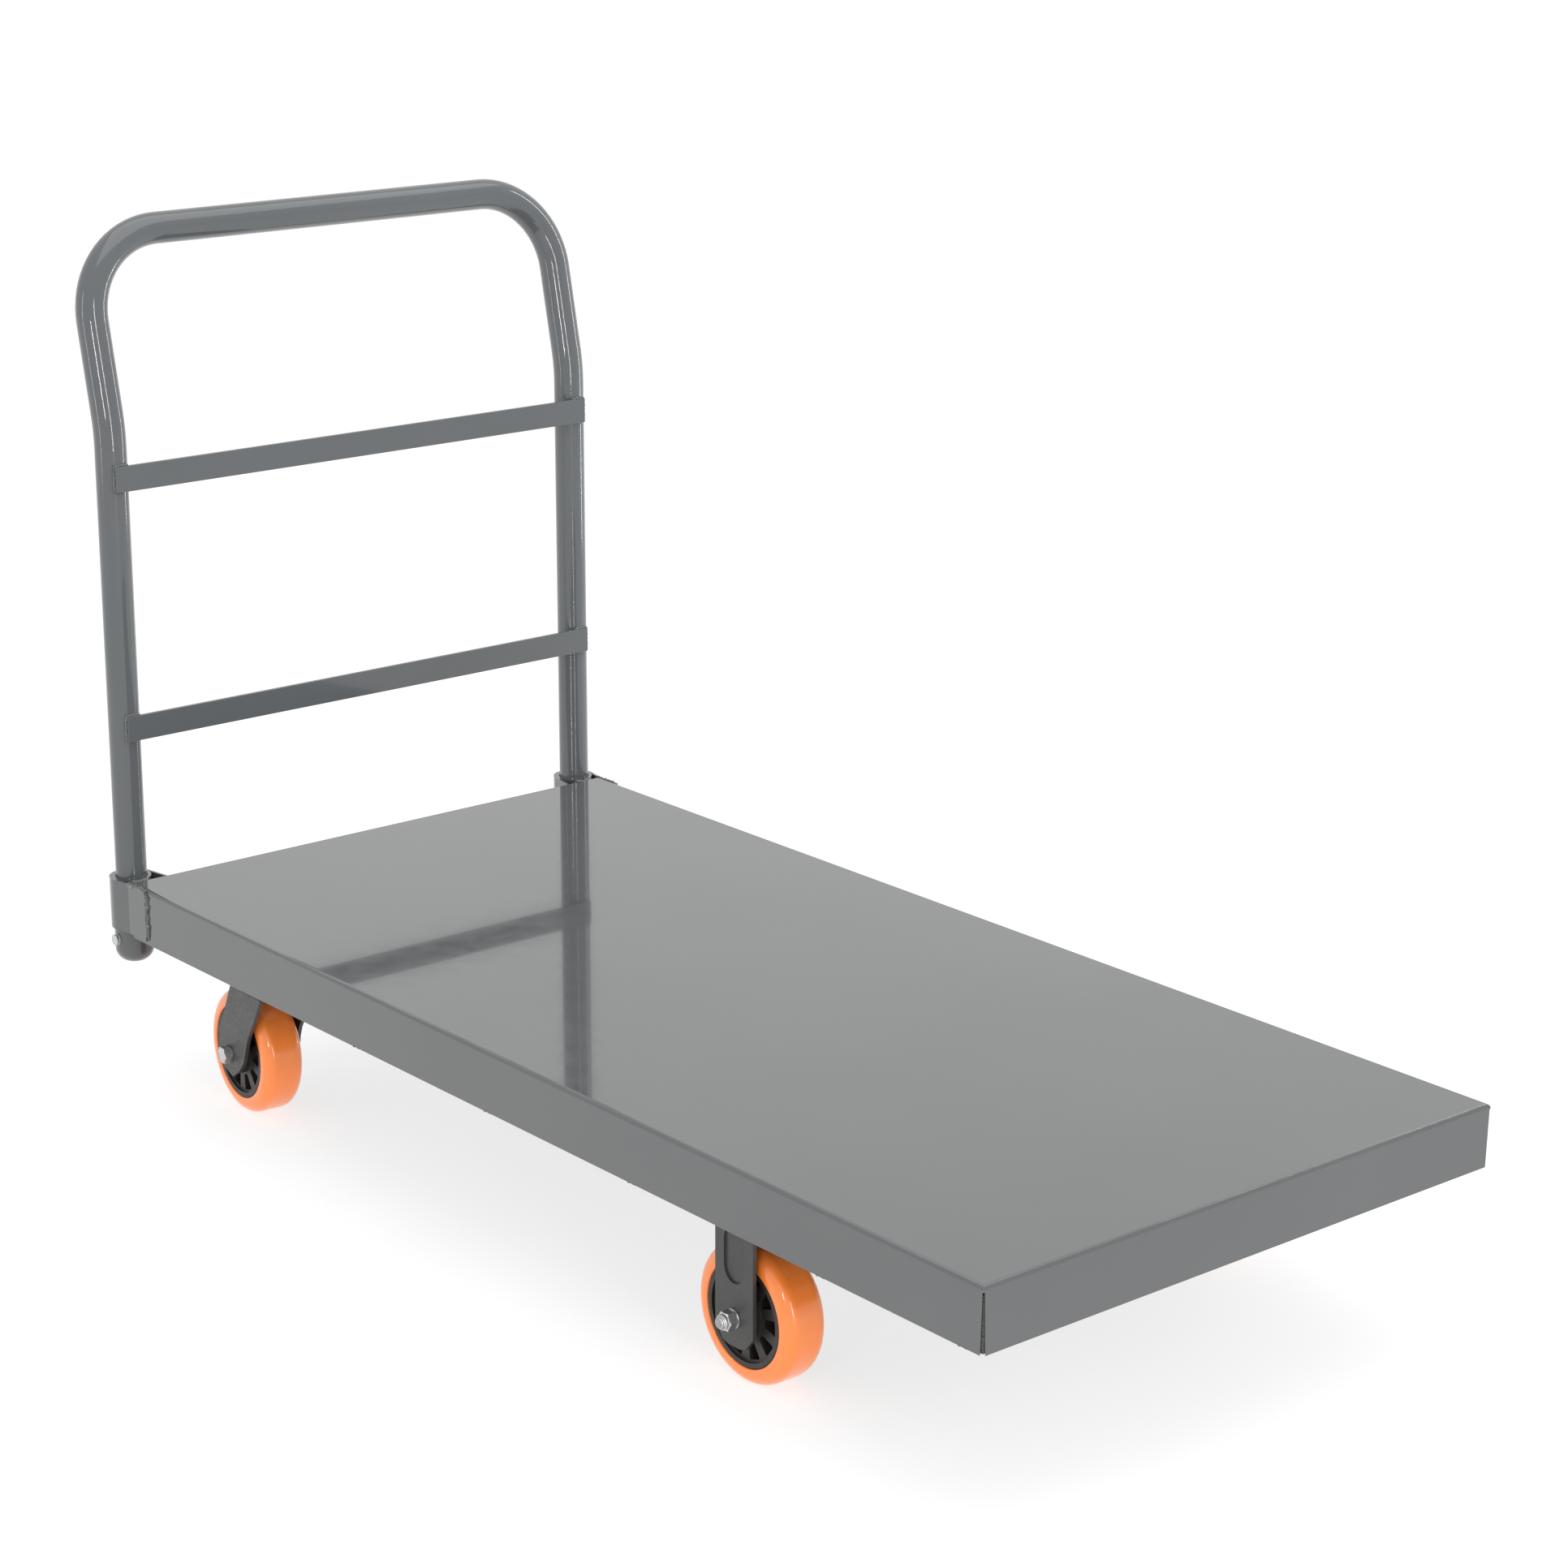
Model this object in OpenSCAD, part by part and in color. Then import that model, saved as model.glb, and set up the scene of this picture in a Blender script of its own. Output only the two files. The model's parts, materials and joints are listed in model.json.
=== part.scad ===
// Flatbed platform truck: folded steel deck, lift-in push handle, two swivel and two rigid casters.
// The floor is z = 0. +X is the front, away from the handle. The origin is the middle of the whole
// outline on the floor. "right" is the -Y side and "left" the +Y side, seen by the person pushing.

/* [Deck] */
// Length of the deck over its folded skirts
deck_l = 1518; // [1240:1:1900]
// Width of the deck over its folded skirts
deck_w = 711.2; // [590:0.1:860]
// Depth of the skirts, from the deck's top face to their lower edge
skirt_h = 70; // [58:0.5:84]
// Thickness of the deck sheet
sheet_t = 2.7; // [2:0.1:3.4]
// Outer radius of the fold along the deck's edges
fold_r = 5; // [4:0.1:8]
// Width of a corner slit just under the deck
slit_top = 2; // [1:0.1:3]
// Width of a corner slit at the lower edge of the skirts
slit_bottom = 4.6; // [3:0.1:7]

/* [Cross members] */
// Width of the channels that carry the casters
channel_w = 127; // [124:1:155]
// Thickness of the caster channels
channel_t = 4.8; // [3:0.1:6]
// Outer fold radius of the channels and ribs
member_r = 7; // [6.5:0.1:10]
// Distance from the rear edge to the web of the first rib
first_rib_x = 487; // [400:1:520]
// Spacing of the three middle ribs
rib_pitch = 252; // [200:1:262]
// Distance from the front edge to the web of the last rib
last_rib_back = 28; // [20:1:60]
// Distance from the front edge to the web of the rib before it
front_rib_back = 230; // [180:1:270]
// Width of a rib's upper and lower flange
rib_flange = 32; // [24:1:38]
// Thickness of the ribs
rib_t = 3; // [2:0.1:4]

/* [Handle] */
// Outside diameter of the handle tube
tube_d = 38.1; // [33:0.1:42]
// Wall of the handle tube
tube_wall = 2; // [1.6:0.1:2.4]
// Distance of a post's axis behind the deck
post_back = 28.7; // [28:0.1:40]
// Distance of a post's axis inward from the deck's side
post_inset = 19.05; // [17:0.05:30]
// Height above the deck where the straight legs of the backward bend would meet
kick_z = 549; // [525:1:640]
// Angle by which the top of the handle leans back
kick_angle = 12.3; // [5:0.1:20]
// Bend radius of the backward bend, on the tube's axis
kick_r = 200; // [100:5:240]
// Height of the top bar's axis above the deck
handle_z = 773; // [700:1:920]
// Bend radius of the two top corners, on the tube's axis
corner_r = 101.6; // [80:0.1:122]
// Height of the flat crossbars
crossbar_h = 31; // [25:0.5:38]
// Thickness of the flat crossbars
crossbar_t = 4.8; // [3:0.1:6]
// How far a crossbar reaches past the posts' axes
crossbar_over = 8; // [4:0.5:12]
// Height of the lower crossbar's middle above the deck
crossbar_low_z = 189; // [150:1:230]
// Height of the upper crossbar's middle above the deck
crossbar_high_z = 494; // [420:1:500]

/* [Handle sockets] */
// Outside diameter of a socket sleeve
sleeve_d = 47.6; // [46.5:0.1:50]
// Gap between the handle tube and the sleeve all round
sleeve_gap = 0.8; // [0.5:0.1:1.2]
// Length of a socket sleeve
sleeve_l = 109; // [104:1:130]
// Thickness of the closed end of the sleeve
sleeve_floor = 12; // [11:0.5:16]
// Radius round the closed end of the sleeve
sleeve_end_r = 18; // [12:0.5:20]
// Drop of the sleeve and its strap below the deck's top face
socket_drop = 1; // [0:0.5:3]
// Height of the strap round the sleeve
strap_h = 63.5; // [55:0.5:66]
// Thickness of the strap
strap_t = 3.2; // [2.5:0.1:4]
// Length of strap that laps the deck's side skirt
strap_lap = 38; // [30:1:60]
// Where the strap's inner leg meets the rear skirt, inward from the deck's side
strap_inner_y = 50; // [48:1:70]

/* [Lock buttons] */
// Diameter of the lock button's body and head
button_d = 14; // [11:0.1:15]
// Diameter of the groove behind the head
button_groove_d = 12; // [8:0.1:12.5]
// How far the button stands out of the sleeve
button_out = 4.8; // [3:0.1:6]
// Thickness of the button's head
button_head = 2.2; // [1.5:0.1:2.6]
// Depth of the button's axis below the deck's top face
button_drop = 79.3; // [77:0.1:84]
// Radial clearance of the button in its holes
button_fit = 0.05; // [0.02:0.01:0.09]
// Diameter of the flange that keeps the button in the tube
button_flange_d = 18; // [16.5:0.1:20]
// Thickness of that flange
button_flange_t = 1.6; // [1:0.1:2]
// Width of the leaf spring
spring_w = 10; // [6:0.5:12]
// Thickness of the leaf spring
spring_t = 1; // [0.6:0.1:1.2]
// Height of the leaf spring above the button's axis
spring_rise = 60; // [50:1:80]

/* [Casters] */
// Overall height of a caster, from the floor to the top of its plate
caster_h = 190.5; // [184:0.5:215]
// Wheel diameter
wheel_d = 152.4; // [144:0.1:156]
// Wheel width
wheel_w = 51.5; // [46:0.5:54]
// Distance of the casters' centres inward from the deck's side
caster_inset = 69.5; // [58:0.5:90]
// Distance of the swivel axes from the deck's rear edge
swivel_x = 205; // [200:1:240]
// Distance of the rigid casters' axles from the deck's front edge
rigid_back = 400.7; // [380:0.1:440]
// Distance of a swivel caster's axle from its swivel axis
trail = 48; // [40:0.5:52]
// Angle by which the swivel casters stand turned inward
swivel_rest = 5; // [0:0.5:10]
// Length of a caster plate
plate_l = 114.3; // [112:0.1:120]
// Width of a caster plate
plate_w = 101.6; // [98:0.1:110]
// Thickness of a caster plate
plate_t = 6.3; // [5:0.1:6.5]
// Spacing of the plate's bolt holes along the truck
bolt_dx = 92; // [90:0.5:96]
// Spacing of the plate's bolt holes across the truck
bolt_dy = 78; // [76:0.5:80]
// Diameter of the plate's bolts
bolt_d = 10; // [8:0.5:11]
// Radial clearance of the bolts in their holes
bolt_fit = 0.5; // [0.3:0.1:0.8]
// Distance between the inner faces of a fork's legs
fork_gap = 63.5; // [62:0.1:68]
// Thickness of the forks
fork_t = 4.8; // [4:0.1:6]
// Width of the groove pressed into a rigid caster's legs, at its floor
press_w = 32; // [20:0.5:36]
// Width of a rigid caster's leg
leg_w = 60; // [52:0.5:62]

/* [Swivel bearing] */
// Diameter of the large balls
ball_d = 9.5; // [9:0.1:10]
// Radius of the large balls' circle
ball_circle_r = 31; // [29:0.5:32]
// Number of large balls
ball_count = 18; // [12:1:19]
// Diameter of the small balls
small_ball_d = 5.2; // [4.8:0.1:5.6]
// Radius of the small balls' circle
small_circle_r = 14; // [13:0.5:15]
// Number of small balls
small_count = 14; // [8:1:15]
// Gap all round a ball in its groove
ball_fit = 0.1; // [0.05:0.01:0.15]
// Diameter of the kingpin
kingpin_d = 16; // [12:0.1:18]
// Radial clearance of the fork on the kingpin
kingpin_fit = 0.05; // [0.02:0.01:0.09]

/* [Wheels] */
// Radius of the seat between tyre and hub
tyre_seat_r = 57; // [55:0.5:60]
// Radius of the tyre's shoulders
shoulder_r = 14; // [8:0.5:16]
// Outer radius of the spoke windows
window_outer_r = 47.5; // [44:0.5:49]
// Inner radius of the spoke windows
window_inner_r = 28.5; // [27:0.5:32]
// Width of a window at its outer end
window_outer_w = 16; // [12:0.5:18]
// Width of a window at its inner end
window_inner_w = 8.5; // [6:0.5:10]
// Corner radius of the windows
window_corner_r = 2.2; // [1:0.1:3]
// Number of windows
window_count = 10; // [6:1:10]
// Depth of the hub's web below the tyre's side
web_recess = 4.5; // [2:0.5:8]
// Outer diameter of the wheel bearings
bearing_d = 40; // [36:0.1:42]
// Width of a wheel bearing
bearing_w = 12; // [10:0.5:13]
// Number of balls in a wheel bearing
bearing_balls = 8; // [6:1:9]
// Diameter of a wheel bearing's balls
bearing_ball_d = 6.7; // [6:0.1:7]

/* [Axles] */
// Diameter of the axle bolts
axle_d = 12.7; // [10:0.1:13]
// Outer diameter of the sleeve on the axle bolt
axle_sleeve_d = 17; // [16:0.1:18]
// Clearance between parts that slip over each other on the axle
axle_fit = 0.05; // [0.02:0.01:0.1]
// Size across the flats of the axle bolt's head and nut
axle_flats = 19; // [18:0.5:22]
// Height of the axle bolt's head
axle_head = 6.5; // [5:0.5:9]
// Height of the axle's lock nut
axle_nut = 15; // [10:0.5:16]
// Thickness of the axle washers
axle_washer = 2.5; // [1.5:0.1:3]
// Length of thread past the lock nut
axle_tip = 3.5; // [1:0.5:5]

/* [Hidden] */

$fn = 96;

// Small overlap for cuts and joins
eps = 0.5;

// Colours
frame_grey = "#75797b";
handle_grey = "#6b7074";
fork_black = "#3b3c3d";
hub_black = "#1e1b1a";
tyre_orange = "#f58a45";
zinc = "#c9ccd0";
bare_steel = "#9a9da1";

// Heights
deck_z = caster_h + skirt_h;
deck_under_z = deck_z - sheet_t;
axle_z = wheel_d / 2;

// Handle: run of the backward bend, and how far the top bar lies behind the posts
tube_r = tube_d / 2;
kick_start = kick_z - kick_r * tan(kick_angle / 2);
kick_end = kick_start + kick_r * sin(kick_angle);
lean_l = (handle_z - kick_end) / cos(kick_angle);
lean_back = kick_r * (1 - cos(kick_angle)) + lean_l * sin(kick_angle);

// The deck's rear edge, so that the origin is the middle of the whole outline
deck_rear = (post_back + lean_back + tube_r - deck_l) / 2;
deck_front = deck_rear + deck_l;
post_x = deck_rear - post_back;
post_y = deck_w / 2 - post_inset;

// Sockets
sleeve_r = sleeve_d / 2;
sleeve_bore_r = tube_r + sleeve_gap;
sleeve_top_z = deck_z - socket_drop;
sleeve_bottom_z = sleeve_top_z - sleeve_l;
tube_bottom_z = sleeve_bottom_z + sleeve_floor;
strap_fit = 0.1;
strap_r = sleeve_r + strap_fit + strap_t / 2;

// Lock buttons, measured outward from the post's axis
button_r = button_d / 2;
button_z = deck_z - button_drop;
button_face = sleeve_r + button_out;
tube_bore_r = tube_r - tube_wall;
button_flange_gap = 0.2;
button_flange_face = sqrt(pow(tube_bore_r, 2) - pow(button_flange_d / 2, 2))
    - button_flange_gap;
button_back = button_flange_face - button_flange_t;

// Casters
caster_y = deck_w / 2 - caster_inset;
pivot_x = deck_rear + swivel_x;
rigid_x = deck_front - rigid_back;
plate_z = caster_h - plate_t;
leg_in = fork_gap / 2;
leg_out = leg_in + fork_t;

// Swivel bearing: the crown lies a ball and two groove floors below the plate
groove_floor = 0.1;
ball_z = plate_z - ball_d / 2 - ball_fit;
race_half = 7;
race_in = ball_circle_r - race_half;
race_out = ball_circle_r + race_half;
race_gap = 3.8;
crown_drop = 0.4;
crown_z = ball_z - ball_d / 2 - ball_fit - groove_floor - crown_drop;
crown_under_z = crown_z - fork_t;
small_bite = 0.3;
small_ball_z = crown_under_z - small_ball_d / 2 + small_bite;
cap_z = small_ball_z - small_ball_d / 2 + small_bite;
cap_t = 4;
cap_rim = 5;
cap_r = small_circle_r + cap_rim;

// Wheel
hub_play = 2.25;
rim_step = 1;
hub_half = leg_in - hub_play;
rim_half = wheel_w / 2 - rim_step;
web_half = wheel_w / 2 - web_recess;
boss_wall = 6;
boss_r = bearing_d / 2 + boss_wall;
bearing_in = hub_half - bearing_w;
race_split_r = (bearing_d / 2 + axle_sleeve_d / 2) / 2;
race_lap = 1.2;
race_wall = bearing_ball_d / 2 - race_lap;

// Signs of the two sides
RIGHT = -1;
LEFT = 1;

// ---- Helpers ----

// Draws right-hand parts as they are and mirrors them for the left side
module on_side(side) {
    if (side == RIGHT) children();
    else mirror([0, 1, 0]) children();
}

// Convex outline, given anticlockwise, grown by r with its corners in short straight steps
module stepped_outline(points, r) {
    steps = 8;
    count = len(points);
    function heading(i) = let (d = points[(i + 1) % count] - points[i % count])
        atan2(-d[0], d[1]);
    function turn(i) = (heading(i) - heading(i + count - 1) + 720) % 360;
    polygon([for (i = [0 : count - 1]) for (k = [0 : steps])
        let (a = heading(i + count - 1) + turn(i) * k / steps) points[i] + r * [cos(a), sin(a)]]);
}

// Rectangle centred on the origin, with corners of radius r
module rounded_rectangle(w, h, r) {
    x = w / 2 - r;
    y = h / 2 - r;
    stepped_outline([[-x, -y], [x, -y], [x, y], [-x, y]], r);
}

// Normal of the leg of a route that starts at point i
function leg_normal(route, i) =
    let (k = max(0, min(i, len(route) - 2)), d = route[k + 1] - route[k])
        [-d[1], d[0]] / norm(d);

// Mitred corner of a strip at point i of its route, for a half thickness of one
function mitre(route, i) =
    let (a = leg_normal(route, i - 1), b = leg_normal(route, i)) (a + b) / (1 + a * b);

// Strip of thickness t along a route of points
module strip(route, t) {
    last = len(route) - 1;
    polygon(concat([for (i = [0 : last]) route[i] + mitre(route, i) * t / 2],
                   [for (i = [last : -1 : 0]) route[i] - mitre(route, i) * t / 2]));
}

// Angle, seen from c, of the point where a line from p touches a circle of radius r about c
function touch_angle(c, p, r, turn) =
    let (d = p - c) atan2(d[1], d[0]) + turn * acos(r / norm(d));

// Hexagonal prism along +Z, size given across its flats
module hexagon(flats, h) {
    cylinder(r = flats / sqrt(3), h = h, $fn = 6);
}

// Solid turned about the Y axis; the profile's x is the radius and its y runs along -Y
module turned_y() {
    rotate([90, 0, 0]) rotate_extrude() children();
}

// ---- Deck ----

// Outline of the deck seen from one end, down to the skirts' lower edge
module deck_section(w, top_z, r, bottom_z) {
    translate([-w / 2, bottom_z]) square([w, top_z - r - bottom_z]);
    translate([-w / 2 + r, bottom_z]) square([w - 2 * r, top_z - bottom_z]);
    for (s = [-1, 1]) translate([s * (w / 2 - r), top_z - r]) circle(r);
}

// Box with folded upper edges: what the two end outlines share
module deck_form(l, w, top_z, r, bottom_z) {
    intersection() {
        rotate([90, 0, 0]) translate([0, 0, -w]) linear_extrude(2 * w)
            deck_section(l, top_z, r, bottom_z);
        rotate([90, 0, 90]) translate([0, 0, -l]) linear_extrude(2 * l)
            deck_section(w, top_z, r, bottom_z);
    }
}

// Tapering slit where two skirts meet, running through the corner along its bisector
module corner_slit() {
    below_fold = 1;
    top = deck_z - fold_r - below_fold;
    reach = 14;
    translate([-reach, 0, 0]) rotate([90, 0, 90]) linear_extrude(2 * reach)
        polygon([[-slit_top / 2, top], [-slit_bottom / 2, caster_h - eps],
                 [slit_bottom / 2, caster_h - eps], [slit_top / 2, top]]);
}

module deck_sheet() {
    color(frame_grey) translate([deck_rear + deck_l / 2, 0, 0]) difference() {
        deck_form(deck_l, deck_w, deck_z, fold_r, caster_h);
        deck_form(deck_l - 2 * sheet_t, deck_w - 2 * sheet_t, deck_under_z,
                  fold_r - sheet_t, caster_h - eps);
        for (sx = [-1, 1]) for (sy = [-1, 1])
            translate([sx * deck_l / 2, sy * deck_w / 2, 0]) rotate([0, 0, sx * sy * 45])
                corner_slit();
    }
}

// ---- Cross members ----

// Length of a cross member between the side skirts
member_l = deck_w - 2 * sheet_t;

// Upright channel section with its web at the bottom
module channel_section() {
    h = deck_under_z - caster_h;
    difference() {
        union() {
            translate([-channel_w / 2 + member_r, 0]) square([channel_w - 2 * member_r, h]);
            translate([-channel_w / 2, member_r]) square([channel_w, h - member_r]);
            for (s = [-1, 1]) translate([s * (channel_w / 2 - member_r), member_r])
                circle(member_r);
        }
        inner_w = channel_w - 2 * channel_t;
        inner_r = member_r - channel_t;
        translate([-inner_w / 2 + inner_r, channel_t]) square([inner_w - 2 * inner_r, h]);
        translate([-inner_w / 2, member_r]) square([inner_w, h]);
        for (s = [-1, 1]) translate([s * (inner_w / 2 - inner_r), member_r]) circle(inner_r);
    }
}

// Cross member at x with the given section, its ends clipped to clear the deck's folds
module member(x) {
    h = deck_under_z - caster_h;
    clip = fold_r - sheet_t;
    y = member_l / 2;
    translate([x, 0, caster_h]) intersection() {
        translate([0, y, 0]) rotate([90, 0, 0]) linear_extrude(member_l) children();
        translate([-channel_w, 0, 0]) rotate([90, 0, 90]) linear_extrude(2 * channel_w)
            polygon([[-y, 0], [y, 0], [y, h - clip], [y - clip, h], [clip - y, h],
                     [-y, h - clip]]);
    }
}

// Channel across the truck over a pair of casters, with the holes for their bolts
module caster_channel(x) {
    color(frame_grey) difference() {
        member(x) channel_section();
        for (side = [RIGHT, LEFT]) translate([x, side * caster_y, 0])
            bolt_places() translate([0, 0, caster_h - eps])
                cylinder(r = bolt_d / 2 + bolt_fit, h = channel_t + 2 * eps);
    }
}

module caster_channel_rear() { caster_channel(pivot_x); }
module caster_channel_front() { caster_channel(rigid_x); }

// C section with an upright web at x = 0 and its flanges to the rear
module rib_section() {
    h = deck_under_z - caster_h;
    r = member_r;
    inner_r = member_r - rib_t;
    difference() {
        union() {
            translate([-r, r]) square([r, h - 2 * r]);
            translate([-rib_flange, 0]) square([rib_flange - r, h]);
            for (y = [r, h - r]) translate([-r, y]) circle(r);
        }
        translate([-rib_flange - eps, r]) square([rib_flange + eps - rib_t, h - 2 * r]);
        translate([-rib_flange - eps, rib_t]) square([rib_flange + eps - r, h - 2 * rib_t]);
        for (y = [r, h - r]) translate([-r, y]) circle(inner_r);
    }
}

// Places of the ribs' webs, counted from the deck's rear edge
rib_places = [first_rib_x, first_rib_x + rib_pitch, first_rib_x + 2 * rib_pitch,
              deck_l - front_rib_back, deck_l - last_rib_back];

module cross_rib(number) {
    color(frame_grey) member(deck_rear + rib_places[number - 1]) rib_section();
}

// ---- Handle sockets ----

module socket_sleeve() {
    color(frame_grey) translate([post_x, -post_y, sleeve_bottom_z]) difference() {
        rotate_extrude() {
            square([sleeve_r - sleeve_end_r, sleeve_l]);
            translate([0, sleeve_end_r]) square([sleeve_r, sleeve_l - sleeve_end_r]);
            intersection() {
                translate([sleeve_r - sleeve_end_r, sleeve_end_r]) circle(sleeve_end_r);
                square([sleeve_r, sleeve_l]);
            }
        }
        translate([0, 0, sleeve_floor]) cylinder(r = sleeve_bore_r, h = sleeve_l);
        button_hole();
    }
}

// Hole for the lock button, through the outer wall only
module button_hole() {
    translate([0, 0, button_z - sleeve_bottom_z]) rotate([90, 0, 0])
        cylinder(r = button_r + button_fit, h = sleeve_d);
}

// Strap from the side skirt round the back of the sleeve to the rear skirt. Plan places are
// counted from the deck's rear corner: forward, and inward from the side.
strap_sleeve = [-post_back, post_inset];
strap_lap_start = [0, -strap_t / 2];
strap_inner_end = [0, strap_inner_y];
strap_outer_a = touch_angle(strap_sleeve, strap_lap_start, strap_r, -1);
strap_inner_a = touch_angle(strap_sleeve, strap_inner_end, strap_r, 1);

// Point at x on the line that runs through p with its normal at angle a, moved out by shift
function leg_point(p, a, shift, x) =
    [x, (p[0] * cos(a) + p[1] * sin(a) + shift - x * cos(a)) / sin(a)];

// Everything inside the strap's middle line moved out by shift, up to x
module strap_loop(shift, x) {
    r = strap_r + shift;
    translate(strap_sleeve) circle(r);
    polygon([strap_sleeve + r * [cos(strap_outer_a), sin(strap_outer_a)],
             leg_point(strap_lap_start, strap_outer_a, shift, x),
             leg_point(strap_inner_end, strap_inner_a, shift, x),
             strap_sleeve + r * [cos(strap_inner_a), sin(strap_inner_a)]]);
}

module socket_strap() {
    color(frame_grey) translate([deck_rear, -deck_w / 2, sleeve_top_z - strap_h]) {
        translate([-eps, -strap_t, 0]) cube([strap_lap + eps, strap_t, strap_h]);
        linear_extrude(strap_h) difference() {
            strap_loop(strap_t / 2, 0);
            strap_loop(-strap_t / 2, eps);
        }
    }
}

// ---- Handle ----

// Straight rod of radius r along +Z
module rod(r, h) {
    cylinder(r = r, h = h);
}

// Rod of radius r that starts at the origin along +Z and bends towards -X
module rod_bend(r, bend_r, angle) {
    rotate([90, 0, 0]) translate([-bend_r, 0, 0]) rotate_extrude(angle = angle)
        translate([bend_r, 0]) circle(r);
}

// Puts its children at the end of the backward bend, leaning with the top of the handle
module on_lean() {
    translate([post_x - kick_r * (1 - cos(kick_angle)), -post_y,
               deck_z + kick_start + kick_r * sin(kick_angle)])
        rotate([0, -kick_angle, 0]) children();
}

// Run of one post, from below its foot to the end of the backward bend
module post_run(r, foot) {
    start_z = deck_z + kick_start;
    translate([post_x, -post_y, tube_bottom_z - foot]) rod(r, start_z - tube_bottom_z + foot);
    translate([post_x, -post_y, start_z]) rod_bend(r, kick_r, kick_angle);
}

// Leaning run, from the backward bend round the top corner to the middle of the top bar
module top_run(r) {
    on_lean() {
        translate([0, 0, mark_gap]) rod(r, lean_l - corner_r - mark_gap);
        translate([0, 0, lean_l - corner_r]) rotate([0, 0, -90]) rod_bend(r, corner_r, 90);
        translate([0, corner_r, lean_l]) rotate([-90, 0, 0]) rod(r, post_y - corner_r);
    }
}

// Faint band left by the bending die round the end of the backward bend
mark_gap = 0.5;
mark_step = 0.05;
mark_half = 2;

module bend_mark() {
    on_lean() translate([0, 0, -mark_half]) difference() {
        cylinder(r = tube_r + mark_step, h = 2 * mark_half + mark_gap);
        translate([0, 0, -eps])
            cylinder(r = tube_bore_r - mark_step, h = 2 * mark_half + mark_gap + 2 * eps);
    }
}

module handle_tube() {
    color(handle_grey) difference() {
        union() {
            for (side = [RIGHT, LEFT]) on_side(side) {
                difference() {
                    post_run(tube_r, 0);
                    post_run(tube_bore_r, eps);
                }
                bend_mark();
                difference() {
                    top_run(tube_r);
                    top_run(tube_bore_r);
                }
            }
        }
        for (side = [RIGHT, LEFT]) on_side(side)
            translate([post_x, -post_y, sleeve_bottom_z]) button_hole();
    }
}

module crossbar(z) {
    length = 2 * (post_y + crossbar_over);
    color(handle_grey) translate([post_x + tube_r, -length / 2, deck_z + z - crossbar_h / 2])
        cube([crossbar_t, length, crossbar_h]);
}

module crossbar_lower() { crossbar(crossbar_low_z); }
module crossbar_upper() { crossbar(crossbar_high_z); }

// ---- Lock buttons ----

// Button along -Y from the post's axis: head, groove, body and the flange inside the tube
module lock_button() {
    chamfer = 0.8;
    step_out = 0.6;
    groove_end = button_face - button_out + step_out;
    color(zinc) translate([post_x, -post_y, button_z]) turned_y() polygon([
        [0, button_back], [button_flange_d / 2, button_back],
        [button_flange_d / 2, button_flange_face], [button_r, button_flange_face],
        [button_r, groove_end], [button_groove_d / 2, groove_end],
        [button_groove_d / 2, button_face - button_head], [button_r, button_face - button_head],
        [button_r, button_face - chamfer], [button_r - chamfer, button_face], [0, button_face]
    ]);
}

// Leaf spring bent like a hairpin: one leg behind the button, the other on the far wall
module lock_spring() {
    pad_y = button_back - spring_t / 2;
    wall_gap = 0.1;
    wall_y = -sqrt(pow(tube_bore_r, 2) - pow(spring_w / 2, 2)) + spring_t / 2 + wall_gap;
    top_r = 4;
    top_z = spring_rise - top_r;
    steps = 12;
    route = concat([[pad_y, -6], [pad_y, 6]],
                   [for (k = [0 : steps]) [0, top_z] + top_r * [cos(180 * k / steps),
                                                                sin(180 * k / steps)]],
                   [[wall_y, 4], [wall_y, -6]]);
    color(bare_steel) translate([post_x + spring_w / 2, -post_y, button_z])
        rotate([90, 0, -90]) linear_extrude(spring_w) strip(route, spring_t);
}

// ---- Caster fastening ----

// Repeats its children at the four bolts of a plate
module bolt_places() {
    for (sx = [-1, 1]) for (sy = [-1, 1])
        translate([sx * bolt_dx / 2, sy * bolt_dy / 2, 0]) children();
}

// Repeats its children on the four casters, unturned
module caster_places() {
    for (x = [pivot_x, rigid_x]) for (side = [RIGHT, LEFT])
        translate([x, side * caster_y, 0]) children();
}

// Sizes of the plate bolts' heads and nuts
bolt_flats = 1.6 * bolt_d;
bolt_head = 0.64 * bolt_d;
nut_t = 0.8 * bolt_d;
bolt_tip = 2;

module caster_bolts() {
    shank = plate_t + channel_t + nut_t + bolt_tip;
    color(zinc) caster_places() bolt_places() translate([0, 0, plate_z - bolt_head]) {
        hexagon(bolt_flats, bolt_head);
        cylinder(d = bolt_d, h = bolt_head + shank);
    }
}

module caster_nuts() {
    color(zinc) caster_places() bolt_places() translate([0, 0, caster_h + channel_t])
        difference() {
            hexagon(bolt_flats, nut_t);
            translate([0, 0, -eps]) cylinder(r = bolt_d / 2 + axle_fit, h = nut_t + 2 * eps);
        }
}

// ---- Swivel casters ----

// Puts its children on a swivel axis, turned as the caster stands; drawn for the right side
module on_swivel(side) {
    on_side(side) translate([pivot_x, -caster_y, 0]) rotate([0, 0, -swivel_rest]) children();
}

module on_rigid(side) {
    on_side(side) translate([rigid_x, -caster_y, 0]) children();
}

// Groove that a ring of balls runs in
module ball_groove(circle_r, d, z) {
    translate([0, 0, z]) rotate_extrude() translate([circle_r, 0]) circle(d / 2 + ball_fit);
}

// Flat caster plate with rounded corners and its four bolt holes
module plate_blank() {
    difference() {
        translate([0, 0, plate_z]) linear_extrude(plate_t) rounded_rectangle(plate_l, plate_w, 6);
        bolt_places() translate([0, 0, plate_z - eps])
            cylinder(r = bolt_d / 2 + bolt_fit, h = plate_t + 2 * eps);
    }
}

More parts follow.
